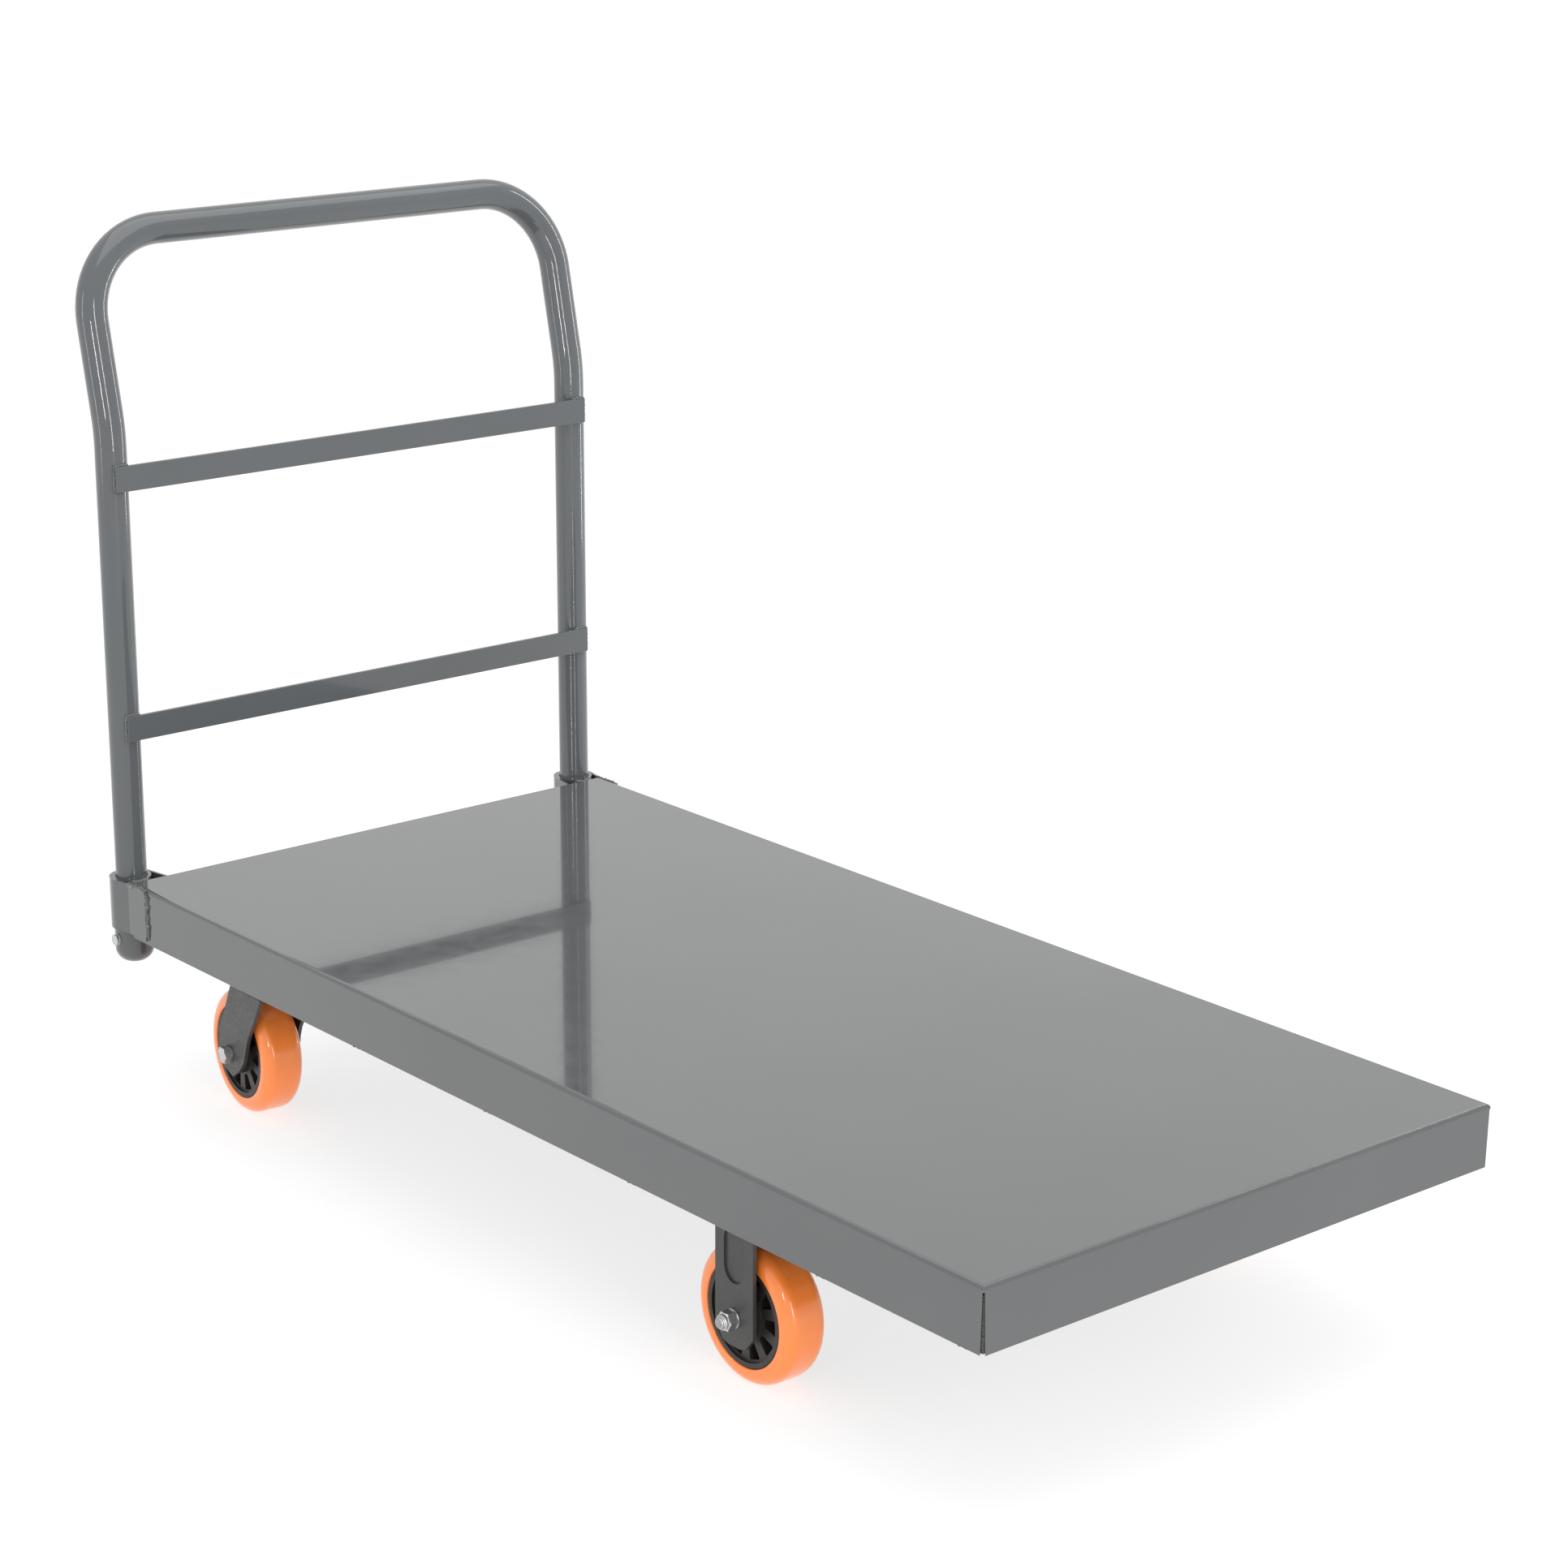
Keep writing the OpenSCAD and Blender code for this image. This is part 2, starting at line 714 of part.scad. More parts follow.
module swivel_plate(side) {
    ring_bottom = ball_z + race_gap / 2;
    color(fork_black) on_side(side) translate([pivot_x, -caster_y, 0]) difference() {
        union() {
            plate_blank();
            difference() {
                translate([0, 0, ring_bottom])
                    cylinder(r = race_out, h = plate_z - ring_bottom + eps);
                translate([0, 0, ring_bottom - eps])
                    cylinder(r = race_in, h = plate_z - ring_bottom + eps);
            }
        }
        ball_groove(ball_circle_r, ball_d, ball_z);
        translate([0, 0, plate_z - eps])
            cylinder(r = kingpin_d / 2 + kingpin_fit, h = plate_t + 2 * eps);
    }
}

// Pin through plate and fork, with the cap that holds the small balls
module kingpin(side) {
    color(bare_steel) on_side(side) translate([pivot_x, -caster_y, 0]) difference() {
        union() {
            translate([0, 0, cap_z - cap_t])
                cylinder(d = kingpin_d, h = caster_h - cap_z + cap_t);
            translate([0, 0, cap_z - cap_t]) cylinder(r = cap_r, h = cap_t);
        }
        ball_groove(small_circle_r, small_ball_d, small_ball_z);
    }
}

// Ring of balls, turned by half a space so that one lies each side of the long axis
module ball_ring(count, circle_r, d, z) {
    for (i = [0 : count - 1]) rotate([0, 0, (i + 0.5) * 360 / count])
        translate([circle_r, 0, z]) sphere(d = d);
}

module swivel_balls(side) {
    color(bare_steel) on_swivel(side) {
        ball_ring(ball_count, ball_circle_r, ball_d, ball_z);
        ball_ring(small_count, small_circle_r, small_ball_d, small_ball_z);
    }
}

// Side outline of the raked fork: x forward from the swivel axis, y the height
function raked_outline() = let (a = [-trail, axle_z], top = crown_z) [
    a + [5, -28], a + [23, -16], a + [35, -2], a + [49, 34], [19, top - 37],
    [36, top - 8], [36, top], [-36, top], [-50, top - 28], a + [-12, 50],
    a + [-27, 24], a + [-28, 8], a + [-18, -21]
];

// Upside-down U section with folded corners, drawn across the truck
module fork_section(top_z) {
    r = 9;
    inner_r = r - fork_t;
    difference() {
        union() {
            translate([-leg_out, 0]) square([2 * leg_out, top_z - r]);
            translate([-leg_out + r, 0]) square([2 * (leg_out - r), top_z]);
            for (s = [-1, 1]) translate([s * (leg_out - r), top_z - r]) circle(r);
        }
        translate([-leg_in, -eps]) square([2 * leg_in, top_z - r + eps]);
        translate([-leg_in + inner_r, -eps]) square([2 * (leg_in - inner_r), top_z - fork_t + eps]);
        for (s = [-1, 1]) translate([s * (leg_in - inner_r), top_z - r]) circle(inner_r);
    }
}

// Hole for the axle bolt through both legs
module axle_hole() {
    rotate([90, 0, 0]) translate([0, 0, -leg_out - eps])
        cylinder(r = axle_d / 2 + axle_fit, h = 2 * (leg_out + eps));
}

module swivel_fork(side) {
    half = 100;
    dish = 0.5;
    race_top = ball_z - race_gap / 2;
    color(fork_black) on_swivel(side) difference() {
        union() {
            intersection() {
                translate([-half, 0, 0]) rotate([90, 0, 90]) linear_extrude(2 * half)
                    fork_section(crown_z);
                rotate([90, 0, 0]) translate([0, 0, -half]) linear_extrude(2 * half)
                    polygon(raked_outline());
            }
            translate([0, 0, crown_under_z]) cylinder(r = race_out, h = race_top - crown_under_z);
        }
        translate([0, 0, crown_z + dish]) cylinder(r = race_in, h = race_top - crown_z);
        ball_groove(ball_circle_r, ball_d, ball_z);
        ball_groove(small_circle_r, small_ball_d, small_ball_z);
        translate([0, 0, crown_under_z - eps])
            cylinder(r = kingpin_d / 2 + kingpin_fit, h = race_top - crown_under_z + 2 * eps);
        translate([-trail, 0, axle_z]) axle_hole();
    }
}

// ---- Rigid casters ----

// Outline of a rigid leg about its axle, seen from the side
module rigid_leg_outline() {
    w = leg_w / 2;
    top = plate_z - axle_z + eps;
    polygon([[-w, -14], [-w + 12, -29], [-w + 21, -31.5], [w - 21, -31.5], [w - 12, -29],
             [w, -14], [w, top], [-w, top]]);
}

// Pressed groove down the middle of a leg: a slot with a round lower end
module groove_outline(extra) {
    low = 54;
    high = plate_z - axle_z - 24;
    stepped_outline([[0, low], [0, high]], press_w / 2 + extra);
}

module rigid_fork(side) {
    depth = 2.4;
    draft = 1.6;
    color(fork_black) on_rigid(side) difference() {
        union() {
            plate_blank();
            for (s = [-1, 1]) translate([0, s * (leg_in + fork_t / 2), axle_z])
                rotate([90, 0, 0]) {
                    translate([0, 0, -fork_t / 2]) linear_extrude(fork_t) rigid_leg_outline();
                    translate([0, 0, s > 0 ? 0 : -fork_t / 2 - depth])
                        linear_extrude(fork_t / 2 + depth) groove_outline(draft);
                }
        }
        for (s = [-1, 1]) translate([0, s * leg_out, axle_z]) rotate([90, 0, 0])
            translate([0, 0, -depth]) linear_extrude(2 * depth) groove_outline(0);
        translate([0, 0, axle_z]) axle_hole();
    }
}

// ---- Axles ----

// Axle bolt along Y. A swivel caster has its head outside; a rigid caster has its nut outside
module axle_bolt(head_out, collar) {
    shank = 2 * leg_out + collar + axle_washer + axle_nut + axle_tip;
    turn = head_out ? 0 : 180;
    color(zinc) rotate([0, 0, turn]) translate([0, -leg_out - collar, 0]) {
        rotate([90, 0, 0]) hexagon(axle_flats, axle_head);
        rotate([-90, 0, 0]) cylinder(d = axle_d, h = shank);
    }
}

// Ring about Y from y0 to y1
module axle_ring(outer_r, inner_r, y0, y1) {
    translate([0, y1, 0]) rotate([90, 0, 0]) difference() {
        cylinder(r = outer_r, h = y1 - y0);
        translate([0, 0, -eps]) cylinder(r = inner_r, h = y1 - y0 + 2 * eps);
    }
}

// Lock nut with its washer, and the collar or washer under the bolt's head
module axle_nuts(head_out, collar) {
    hole_r = axle_d / 2 + axle_fit;
    nut_y = leg_out + axle_washer;
    washer_r = axle_flats / 2 + 3;
    neck = 4;
    neck_step = 1;
    turn = head_out ? 0 : 180;
    color(zinc) rotate([0, 0, turn]) {
        axle_ring(washer_r, hole_r, leg_out, nut_y);
        translate([0, nut_y + axle_nut, 0]) rotate([90, 0, 0]) difference() {
            union() {
                translate([0, 0, neck]) hexagon(axle_flats, axle_nut - neck);
                cylinder(r = axle_flats / 2 - neck_step, h = axle_nut);
            }
            translate([0, 0, -eps]) cylinder(r = hole_r, h = axle_nut + 2 * eps);
        }
        translate([0, -leg_out, 0]) rotate([90, 0, 0]) difference() {
            if (head_out) hexagon(axle_flats, collar);
            else cylinder(r = washer_r, h = collar);
            translate([0, 0, -eps]) cylinder(r = hole_r, h = collar + 2 * eps);
        }
    }
}

// Sleeve that the legs clamp and the bearings sit on
module axle_sleeve() {
    color(bare_steel) axle_ring(axle_sleeve_d / 2, axle_d / 2 + axle_fit, -leg_in, leg_in);
}

// ---- Wheels ----

// Groove circle of a bearing's balls, cut from both races
module bearing_groove(y) {
    translate([0, y, 0]) turned_y() translate([race_split_r, 0])
        circle(bearing_ball_d / 2 + axle_fit);
}

// Repeats its children at the middle of the two bearings
module bearing_places() {
    for (s = [-1, 1]) translate([0, s * (bearing_in + bearing_w / 2), 0]) children();
}

module inner_races() {
    color(bare_steel) bearing_places() difference() {
        axle_ring(race_split_r - race_wall, axle_sleeve_d / 2 + axle_fit,
                  -bearing_w / 2, bearing_w / 2);
        bearing_groove(0);
    }
}

// Outer races with their balls
module wheel_bearings() {
    color(bare_steel) bearing_places() {
        difference() {
            axle_ring(bearing_d / 2, race_split_r + race_wall, -bearing_w / 2, bearing_w / 2);
            bearing_groove(0);
        }
        for (i = [0 : bearing_balls - 1]) rotate([0, (i + 0.5) * 360 / bearing_balls, 0])
            translate([race_split_r, 0, 0]) sphere(d = bearing_ball_d);
    }
}

// Spoke window: a trapezoid with round corners, wide end outward
module window_outline() {
    r = window_corner_r;
    outer = window_outer_r - r;
    inner = window_inner_r + r;
    stepped_outline([[inner, -window_inner_w / 2 + r], [outer, -window_outer_w / 2 + r],
                     [outer, window_outer_w / 2 - r], [inner, window_inner_w / 2 - r]], r);
}

// Hub: rim, recessed web with windows, and the boss that holds the bearings
module wheel_hub() {
    rim_r = window_outer_r + 3;
    seal_gap = 2;
    color(hub_black) difference() {
        turned_y() {
            translate([boss_r - eps, -web_half]) square([rim_r - boss_r + 2 * eps, 2 * web_half]);
            translate([rim_r, -rim_half]) square([tyre_seat_r - rim_step - rim_r, 2 * rim_half]);
            translate([rim_r + rim_step, -rim_half + rim_step])
                square([tyre_seat_r - rim_r - rim_step, 2 * (rim_half - rim_step)]);
            difference() {
                translate([axle_sleeve_d / 2 + seal_gap, -hub_half])
                    square([boss_r - axle_sleeve_d / 2 - seal_gap, 2 * hub_half]);
                for (s = [-1, 1]) translate([0, s > 0 ? bearing_in : -hub_half - eps])
                    square([bearing_d / 2, bearing_w + eps]);
            }
        }
        for (i = [0 : window_count - 1]) rotate([90, i * 360 / window_count, 0])
            translate([0, 0, -wheel_w]) linear_extrude(2 * wheel_w) window_outline();
    }
}

// Tyre with rounded shoulders, seated on the hub's rim
module tyre() {
    half = wheel_w / 2;
    crown_r = wheel_d / 2;
    turn_r = crown_r - shoulder_r;
    lip = 1.5;
    color(tyre_orange) turned_y() {
        translate([tyre_seat_r, -half + lip]) square([turn_r - tyre_seat_r, 2 * (half - lip)]);
        translate([tyre_seat_r + lip, -half]) square([turn_r - tyre_seat_r - lip, 2 * half]);
        translate([turn_r, -half + shoulder_r]) square([shoulder_r, 2 * (half - shoulder_r)]);
        for (s = [-1, 1]) {
            translate([tyre_seat_r + lip, s * (half - lip)]) circle(lip);
            intersection() {
                translate([turn_r, s * (half - shoulder_r)]) circle(shoulder_r);
                translate([turn_r, -half]) square([shoulder_r, 2 * half]);
            }
        }
    }
}

// Ring under the head of a swivel caster's axle bolt
collar_swivel = 5;

// Axle centres, for the parts that sit and turn on them
module on_swivel_axle(side) { on_swivel(side) translate([-trail, 0, axle_z]) children(); }
module on_rigid_axle(side) { on_rigid(side) translate([0, 0, axle_z]) children(); }

deck_sheet();
caster_channel_rear();
caster_channel_front();
cross_rib(1);  // cross_rib_1
cross_rib(2);  // cross_rib_2
cross_rib(3);  // cross_rib_3
cross_rib(4);  // cross_rib_4
cross_rib(5);  // cross_rib_5
on_side(RIGHT) socket_sleeve();  // socket_sleeve_right
on_side(LEFT) socket_sleeve();  // socket_sleeve_left
on_side(RIGHT) socket_strap();  // socket_strap_right
on_side(LEFT) socket_strap();  // socket_strap_left
handle_tube();
crossbar_lower();
crossbar_upper();
on_side(RIGHT) lock_button();  // lock_button_right
on_side(LEFT) lock_button();  // lock_button_left
on_side(RIGHT) lock_spring();  // lock_spring_right
on_side(LEFT) lock_spring();  // lock_spring_left
caster_bolts();
caster_nuts();
swivel_plate(RIGHT);  // swivel_plate_right
kingpin(RIGHT);  // kingpin_right
swivel_balls(RIGHT);  // swivel_balls_right
swivel_fork(RIGHT);  // swivel_fork_right
swivel_plate(LEFT);  // swivel_plate_left
kingpin(LEFT);  // kingpin_left
swivel_balls(LEFT);  // swivel_balls_left
swivel_fork(LEFT);  // swivel_fork_left
rigid_fork(RIGHT);  // rigid_fork_right
rigid_fork(LEFT);  // rigid_fork_left
on_swivel_axle(RIGHT) axle_bolt(true, collar_swivel);  // axle_bolt_rear_right
on_swivel_axle(RIGHT) axle_nuts(true, collar_swivel);  // axle_nuts_rear_right
on_swivel_axle(RIGHT) axle_sleeve();  // axle_sleeve_rear_right
on_swivel_axle(RIGHT) inner_races();  // inner_races_rear_right
on_swivel_axle(RIGHT) wheel_bearings();  // wheel_bearings_rear_right
on_swivel_axle(RIGHT) wheel_hub();  // wheel_hub_rear_right
on_swivel_axle(RIGHT) tyre();  // tyre_rear_right
on_swivel_axle(LEFT) axle_bolt(true, collar_swivel);  // axle_bolt_rear_left
on_swivel_axle(LEFT) axle_nuts(true, collar_swivel);  // axle_nuts_rear_left
on_swivel_axle(LEFT) axle_sleeve();  // axle_sleeve_rear_left
on_swivel_axle(LEFT) inner_races();  // inner_races_rear_left
on_swivel_axle(LEFT) wheel_bearings();  // wheel_bearings_rear_left
on_swivel_axle(LEFT) wheel_hub();  // wheel_hub_rear_left
on_swivel_axle(LEFT) tyre();  // tyre_rear_left
on_rigid_axle(RIGHT) axle_bolt(false, axle_washer);  // axle_bolt_front_right
on_rigid_axle(RIGHT) axle_nuts(false, axle_washer);  // axle_nuts_front_right
on_rigid_axle(RIGHT) axle_sleeve();  // axle_sleeve_front_right
on_rigid_axle(RIGHT) inner_races();  // inner_races_front_right
on_rigid_axle(RIGHT) wheel_bearings();  // wheel_bearings_front_right
on_rigid_axle(RIGHT) wheel_hub();  // wheel_hub_front_right
on_rigid_axle(RIGHT) tyre();  // tyre_front_right
on_rigid_axle(LEFT) axle_bolt(false, axle_washer);  // axle_bolt_front_left
on_rigid_axle(LEFT) axle_nuts(false, axle_washer);  // axle_nuts_front_left
on_rigid_axle(LEFT) axle_sleeve();  // axle_sleeve_front_left
on_rigid_axle(LEFT) inner_races();  // inner_races_front_left
on_rigid_axle(LEFT) wheel_bearings();  // wheel_bearings_front_left
on_rigid_axle(LEFT) wheel_hub();  // wheel_hub_front_left
on_rigid_axle(LEFT) tyre();  // tyre_front_left
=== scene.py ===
"""Flatbed platform truck: materials, weld beads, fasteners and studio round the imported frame."""

import json
import logging
import math
import random
from collections.abc import Callable, Sequence
from dataclasses import dataclass
from enum import Enum

import bmesh
import bpy
from mathutils import Matrix, Vector


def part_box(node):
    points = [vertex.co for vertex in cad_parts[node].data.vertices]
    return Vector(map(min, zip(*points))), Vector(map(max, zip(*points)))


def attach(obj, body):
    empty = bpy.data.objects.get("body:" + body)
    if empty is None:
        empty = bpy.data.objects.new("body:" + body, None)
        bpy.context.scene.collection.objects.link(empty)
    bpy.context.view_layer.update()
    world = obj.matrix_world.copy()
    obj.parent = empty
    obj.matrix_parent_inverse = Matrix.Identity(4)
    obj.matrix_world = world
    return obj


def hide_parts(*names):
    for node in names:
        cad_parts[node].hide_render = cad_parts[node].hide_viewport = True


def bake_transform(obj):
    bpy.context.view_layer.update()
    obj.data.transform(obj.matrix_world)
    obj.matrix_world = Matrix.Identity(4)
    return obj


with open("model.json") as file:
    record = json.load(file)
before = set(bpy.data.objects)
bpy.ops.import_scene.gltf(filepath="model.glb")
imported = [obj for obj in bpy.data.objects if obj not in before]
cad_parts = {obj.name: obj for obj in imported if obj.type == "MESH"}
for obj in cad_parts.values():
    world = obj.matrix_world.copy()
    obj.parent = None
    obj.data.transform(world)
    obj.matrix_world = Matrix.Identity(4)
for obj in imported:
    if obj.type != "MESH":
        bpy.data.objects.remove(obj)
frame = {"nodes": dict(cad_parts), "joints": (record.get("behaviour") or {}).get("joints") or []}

log = logging.getLogger("platform_truck")

MM = 0.001
# Points closer than this are one point, and faces that bend less are one face
SAME_POINT = 0.01 * MM
FLAT = math.radians(0.4)
# Play between a thread and the bore round it
THREAD_PLAY = 0.05 * MM
UP = Vector((0.0, 0.0, 1.0))
Box = tuple[Vector, Vector]
Ring = list[bmesh.types.BMVert]
Colour = tuple[float, float, float]
Point = tuple[float, float, float]
Range = tuple[float, float]


class Side(Enum):
    """Side of the truck, as the person pushing it sees it."""

    RIGHT = "right"
    LEFT = "left"

    @property
    def sign(self) -> int:
        """Sign of Y on this side."""
        return -1 if self is Side.RIGHT else 1


class Axle(Enum):
    """Pair of wheels."""

    REAR = "rear"
    FRONT = "front"


class Slot(Enum):
    """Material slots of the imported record."""

    FRAME = "frame_powder_coat"
    HANDLE = "handle_powder_coat"
    FORK = "fork_paint"
    ZINC = "zinc_plate"
    STEEL = "bearing_steel"
    HUB = "hub_plastic"
    TYRE = "tyre_polyurethane"


# ---- Frame measures ----


def corners(node: str) -> Box:
    """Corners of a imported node's box.

    Args:
        node: Name of the node.

    Returns:
        The lowest and the highest corner, in metres.
    """
    low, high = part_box(node)
    return Vector(low), Vector(high)


def joint(name: str) -> dict:
    """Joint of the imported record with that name."""
    return next(j for j in frame["joints"] if j["name"] == name)


# ---- Finishes ----


class Shader:
    """Node graph of one material, built up node by node."""

    def __init__(self, name: str) -> None:
        """Starts an empty graph with a Principled shader.

        Args:
            name: Name of the material.
        """
        self.material = bpy.data.materials.new(name)
        self.material.use_nodes = True
        self.tree = self.material.node_tree
        self.tree.nodes.clear()
        self.surface = self.tree.nodes.new("ShaderNodeBsdfPrincipled")
        output = self.tree.nodes.new("ShaderNodeOutputMaterial")
        self.link(self.surface.outputs["BSDF"], output.inputs["Surface"])
        self.place = self.tree.nodes.new("ShaderNodeTexCoord").outputs["Object"]

    def link(self, source: bpy.types.NodeSocket, target: bpy.types.NodeSocket) -> None:
        """Joins two sockets."""
        self.tree.links.new(source, target)

    def set(self, **values: float | tuple) -> None:
        """Sets the Principled shader's own sockets.

        Args:
            **values: Socket names in lower case with underscores, and their values.
        """
        for name, value in values.items():
            socket = next(s for s in self.surface.inputs
                          if s.name.lower().replace(" ", "_") == name)
            socket.default_value = (*value, 1.0) if isinstance(value, tuple) else value

    def noise(self, scale: float, detail: float = 2.0,
              distortion: float = 0.0) -> bpy.types.NodeSocket:
        """Adds a noise pattern in object space.

        Args:
            scale: Cells per metre.
            detail: Octaves of finer noise.
            distortion: How far the pattern is warped.

        Returns:
            The noise value's socket.
        """
        node = self.tree.nodes.new("ShaderNodeTexNoise")
        node.inputs["Scale"].default_value = scale
        node.inputs["Detail"].default_value = detail
        node.inputs["Distortion"].default_value = distortion
        self.link(self.place, node.inputs["Vector"])
        return node.outputs["Fac"]

    def cells(self, scale: float) -> bpy.types.NodeSocket:
        """Adds a cell pattern in object space.

        Args:
            scale: Cells per metre.

        Returns:
            The socket with the distance to the nearest cell's middle.
        """
        node = self.tree.nodes.new("ShaderNodeTexVoronoi")
        node.inputs["Scale"].default_value = scale
        self.link(self.place, node.inputs["Vector"])
        return node.outputs["Distance"]

    def colour(self, source: bpy.types.NodeSocket, first: Colour, last: Colour,
               low: float = 0.3, high: float = 0.7) -> None:
        """Colours the surface between two colours by a pattern.

        Args:
            source: Socket with the pattern's value.
            first: Linear red, green and blue at the low value.
            last: Linear red, green and blue at the high value.
            low: Value that gives the first colour.
            high: Value that gives the last colour.
        """
        node = self.tree.nodes.new("ShaderNodeValToRGB")
        node.color_ramp.elements[0].position = low
        node.color_ramp.elements[1].position = high
        node.color_ramp.elements[0].color = (*first, 1.0)
        node.color_ramp.elements[1].color = (*last, 1.0)
        self.link(source, node.inputs["Fac"])
        self.link(node.outputs["Color"], self.surface.inputs["Base Color"])

    def roughness(self, source: bpy.types.NodeSocket, first: float, last: float,
                  low: float = 0.3, high: float = 0.7) -> None:
        """Varies the surface's roughness by a pattern.

        Args:
            source: Socket with the pattern's value.
            first: Roughness at the low value.
            last: Roughness at the high value.
            low: Value that gives the first roughness.
            high: Value that gives the last roughness.
        """
        node = self.tree.nodes.new("ShaderNodeMapRange")
        for name, value in (("From Min", low), ("From Max", high), ("To Min", first),
                            ("To Max", last)):
            node.inputs[name].default_value = value
        self.link(source, node.inputs["Value"])
        self.link(node.outputs["Result"], self.surface.inputs["Roughness"])

    def bumps(self, layers: Sequence[tuple[bpy.types.NodeSocket, float, float]]) -> None:
        """Stacks bump layers on the surface.

        Args:
            layers: Height socket, strength and depth in metres of each layer.
        """
        normal = None
        for height, strength, depth in layers:
            node = self.tree.nodes.new("ShaderNodeBump")
            node.inputs["Strength"].default_value = strength
            node.inputs["Distance"].default_value = depth
            self.link(height, node.inputs["Height"])
            if normal is not None:
                self.link(normal, node.inputs["Normal"])
            normal = node.outputs["Normal"]
        self.link(normal, self.surface.inputs["Normal"])


@dataclass(frozen=True)
class PowderCoat:
    """Glossy powder coat with a fine orange peel and a faint drift of dust."""

    name: str
    dark: Colour
    light: Colour
    rough: Range = (0.07, 0.13)
    glaze: float = 0.6
    glaze_roughness: float = 0.03
    dust_scale: float = 4.0
    grain_scale: float = 35.0
    peel_scale: float = 600.0
    peel_depth: float = 0.01 * MM
    wave_scale: float = 5.0
    wave_depth: float = 0.6 * MM

    def make(self) -> bpy.types.Material:
        """Builds the coat.

        Returns:
            The material.
        """
        s = Shader(self.name)
        s.set(metallic=0.0, ior=1.5, coat_weight=self.glaze, coat_roughness=self.glaze_roughness)
        s.colour(s.noise(self.dust_scale, 4.0), self.dark, self.light)
        s.roughness(s.noise(self.grain_scale, 3.0), *self.rough)
        s.bumps([(s.noise(self.wave_scale, 1.0), 0.2, self.wave_depth),
                 (s.noise(self.peel_scale, 1.0), 0.3, self.peel_depth)])
        return s.material


@dataclass(frozen=True)
class SatinPaint:
    """Thin dark paint over pressed steel."""

    name: str
    dark: Colour
    light: Colour
    rough: Range = (0.35, 0.52)
    cloud_scale: float = 28.0
    grain_scale: float = 220.0
    dent_scale: float = 40.0
    dent_depth: float = 0.2 * MM
    peel_scale: float = 700.0
    peel_depth: float = 0.03 * MM

    def make(self) -> bpy.types.Material:
        """Builds the paint.

        Returns:
            The material.
        """
        s = Shader(self.name)
        s.set(metallic=0.0, ior=1.48, coat_weight=0.12, coat_roughness=0.3)
        s.colour(s.noise(self.cloud_scale, 3.0), self.dark, self.light, low=0.35)
        s.roughness(s.noise(self.grain_scale, 3.0), *self.rough)
        s.bumps([(s.noise(self.dent_scale, 2.0), 0.15, self.dent_depth),
                 (s.noise(self.peel_scale, 1.0), 0.3, self.peel_depth)])
        return s.material


@dataclass(frozen=True)
class ZincPlate:
    """Bright zinc plate with a faint yellow and blue cast."""

    name: str = "zinc_plate"
    cool: Colour = (0.49, 0.53, 0.57)
    warm: Colour = (0.62, 0.605, 0.56)
    rough: Range = (0.26, 0.36)
    cast_scale: float = 180.0
    grain_scale: float = 600.0
    peel_scale: float = 900.0
    peel_depth: float = 0.01 * MM

    def make(self) -> bpy.types.Material:
        """Builds the plate.

        Returns:
            The material.
        """
        s = Shader(self.name)
        s.set(metallic=1.0)
        s.colour(s.noise(self.cast_scale, 3.0, distortion=0.6), self.cool, self.warm,
                 low=0.35, high=0.68)
        s.roughness(s.noise(self.grain_scale), *self.rough)
        s.bumps([(s.noise(self.peel_scale, 1.0), 0.15, self.peel_depth)])
        return s.material


@dataclass(frozen=True)
class BareSteel:
    """Ground and hardened steel."""

    name: str = "bearing_steel"
    dark: Colour = (0.42, 0.43, 0.45)
    light: Colour = (0.58, 0.58, 0.59)
    rough: Range = (0.18, 0.32)
    cloud_scale: float = 120.0
    grain_scale: float = 600.0
    grinding_scale: float = 2200.0
    grinding_depth: float = 0.03 * MM

    def make(self) -> bpy.types.Material:
        """Builds the steel.

        Returns:
            The material.
        """
        s = Shader(self.name)
        s.set(metallic=1.0)
        s.colour(s.noise(self.cloud_scale, 4.0), self.dark, self.light)
        s.roughness(s.noise(self.grain_scale), *self.rough)
        s.bumps([(s.noise(self.grinding_scale), 0.15, self.grinding_depth)])
        return s.material


@dataclass(frozen=True)
class Urethane:
    """Cast polyurethane tread: glossy, a little translucent."""

    name: str = "tyre_polyurethane"
    deep: Colour = (0.93, 0.222, 0.032)
    pale: Colour = (0.98, 0.258, 0.046)
    rough: Range = (0.26, 0.34)
    cloud_scale: float = 9.0
    wave_scale: float = 30.0
    wave_depth: float = 0.2 * MM

    def make(self) -> bpy.types.Material:
        """Builds the tread.

        Returns:
            The material.
        """
        s = Shader(self.name)
        s.set(metallic=0.0, ior=1.5, subsurface_weight=0.08, subsurface_scale=4 * MM,
              coat_weight=0.6, coat_roughness=0.03)
        s.colour(s.noise(self.cloud_scale), self.deep, self.pale)
        s.roughness(s.noise(self.wave_scale), *self.rough)
        s.bumps([(s.noise(self.wave_scale, 1.0), 0.15, self.wave_depth)])
        return s.material


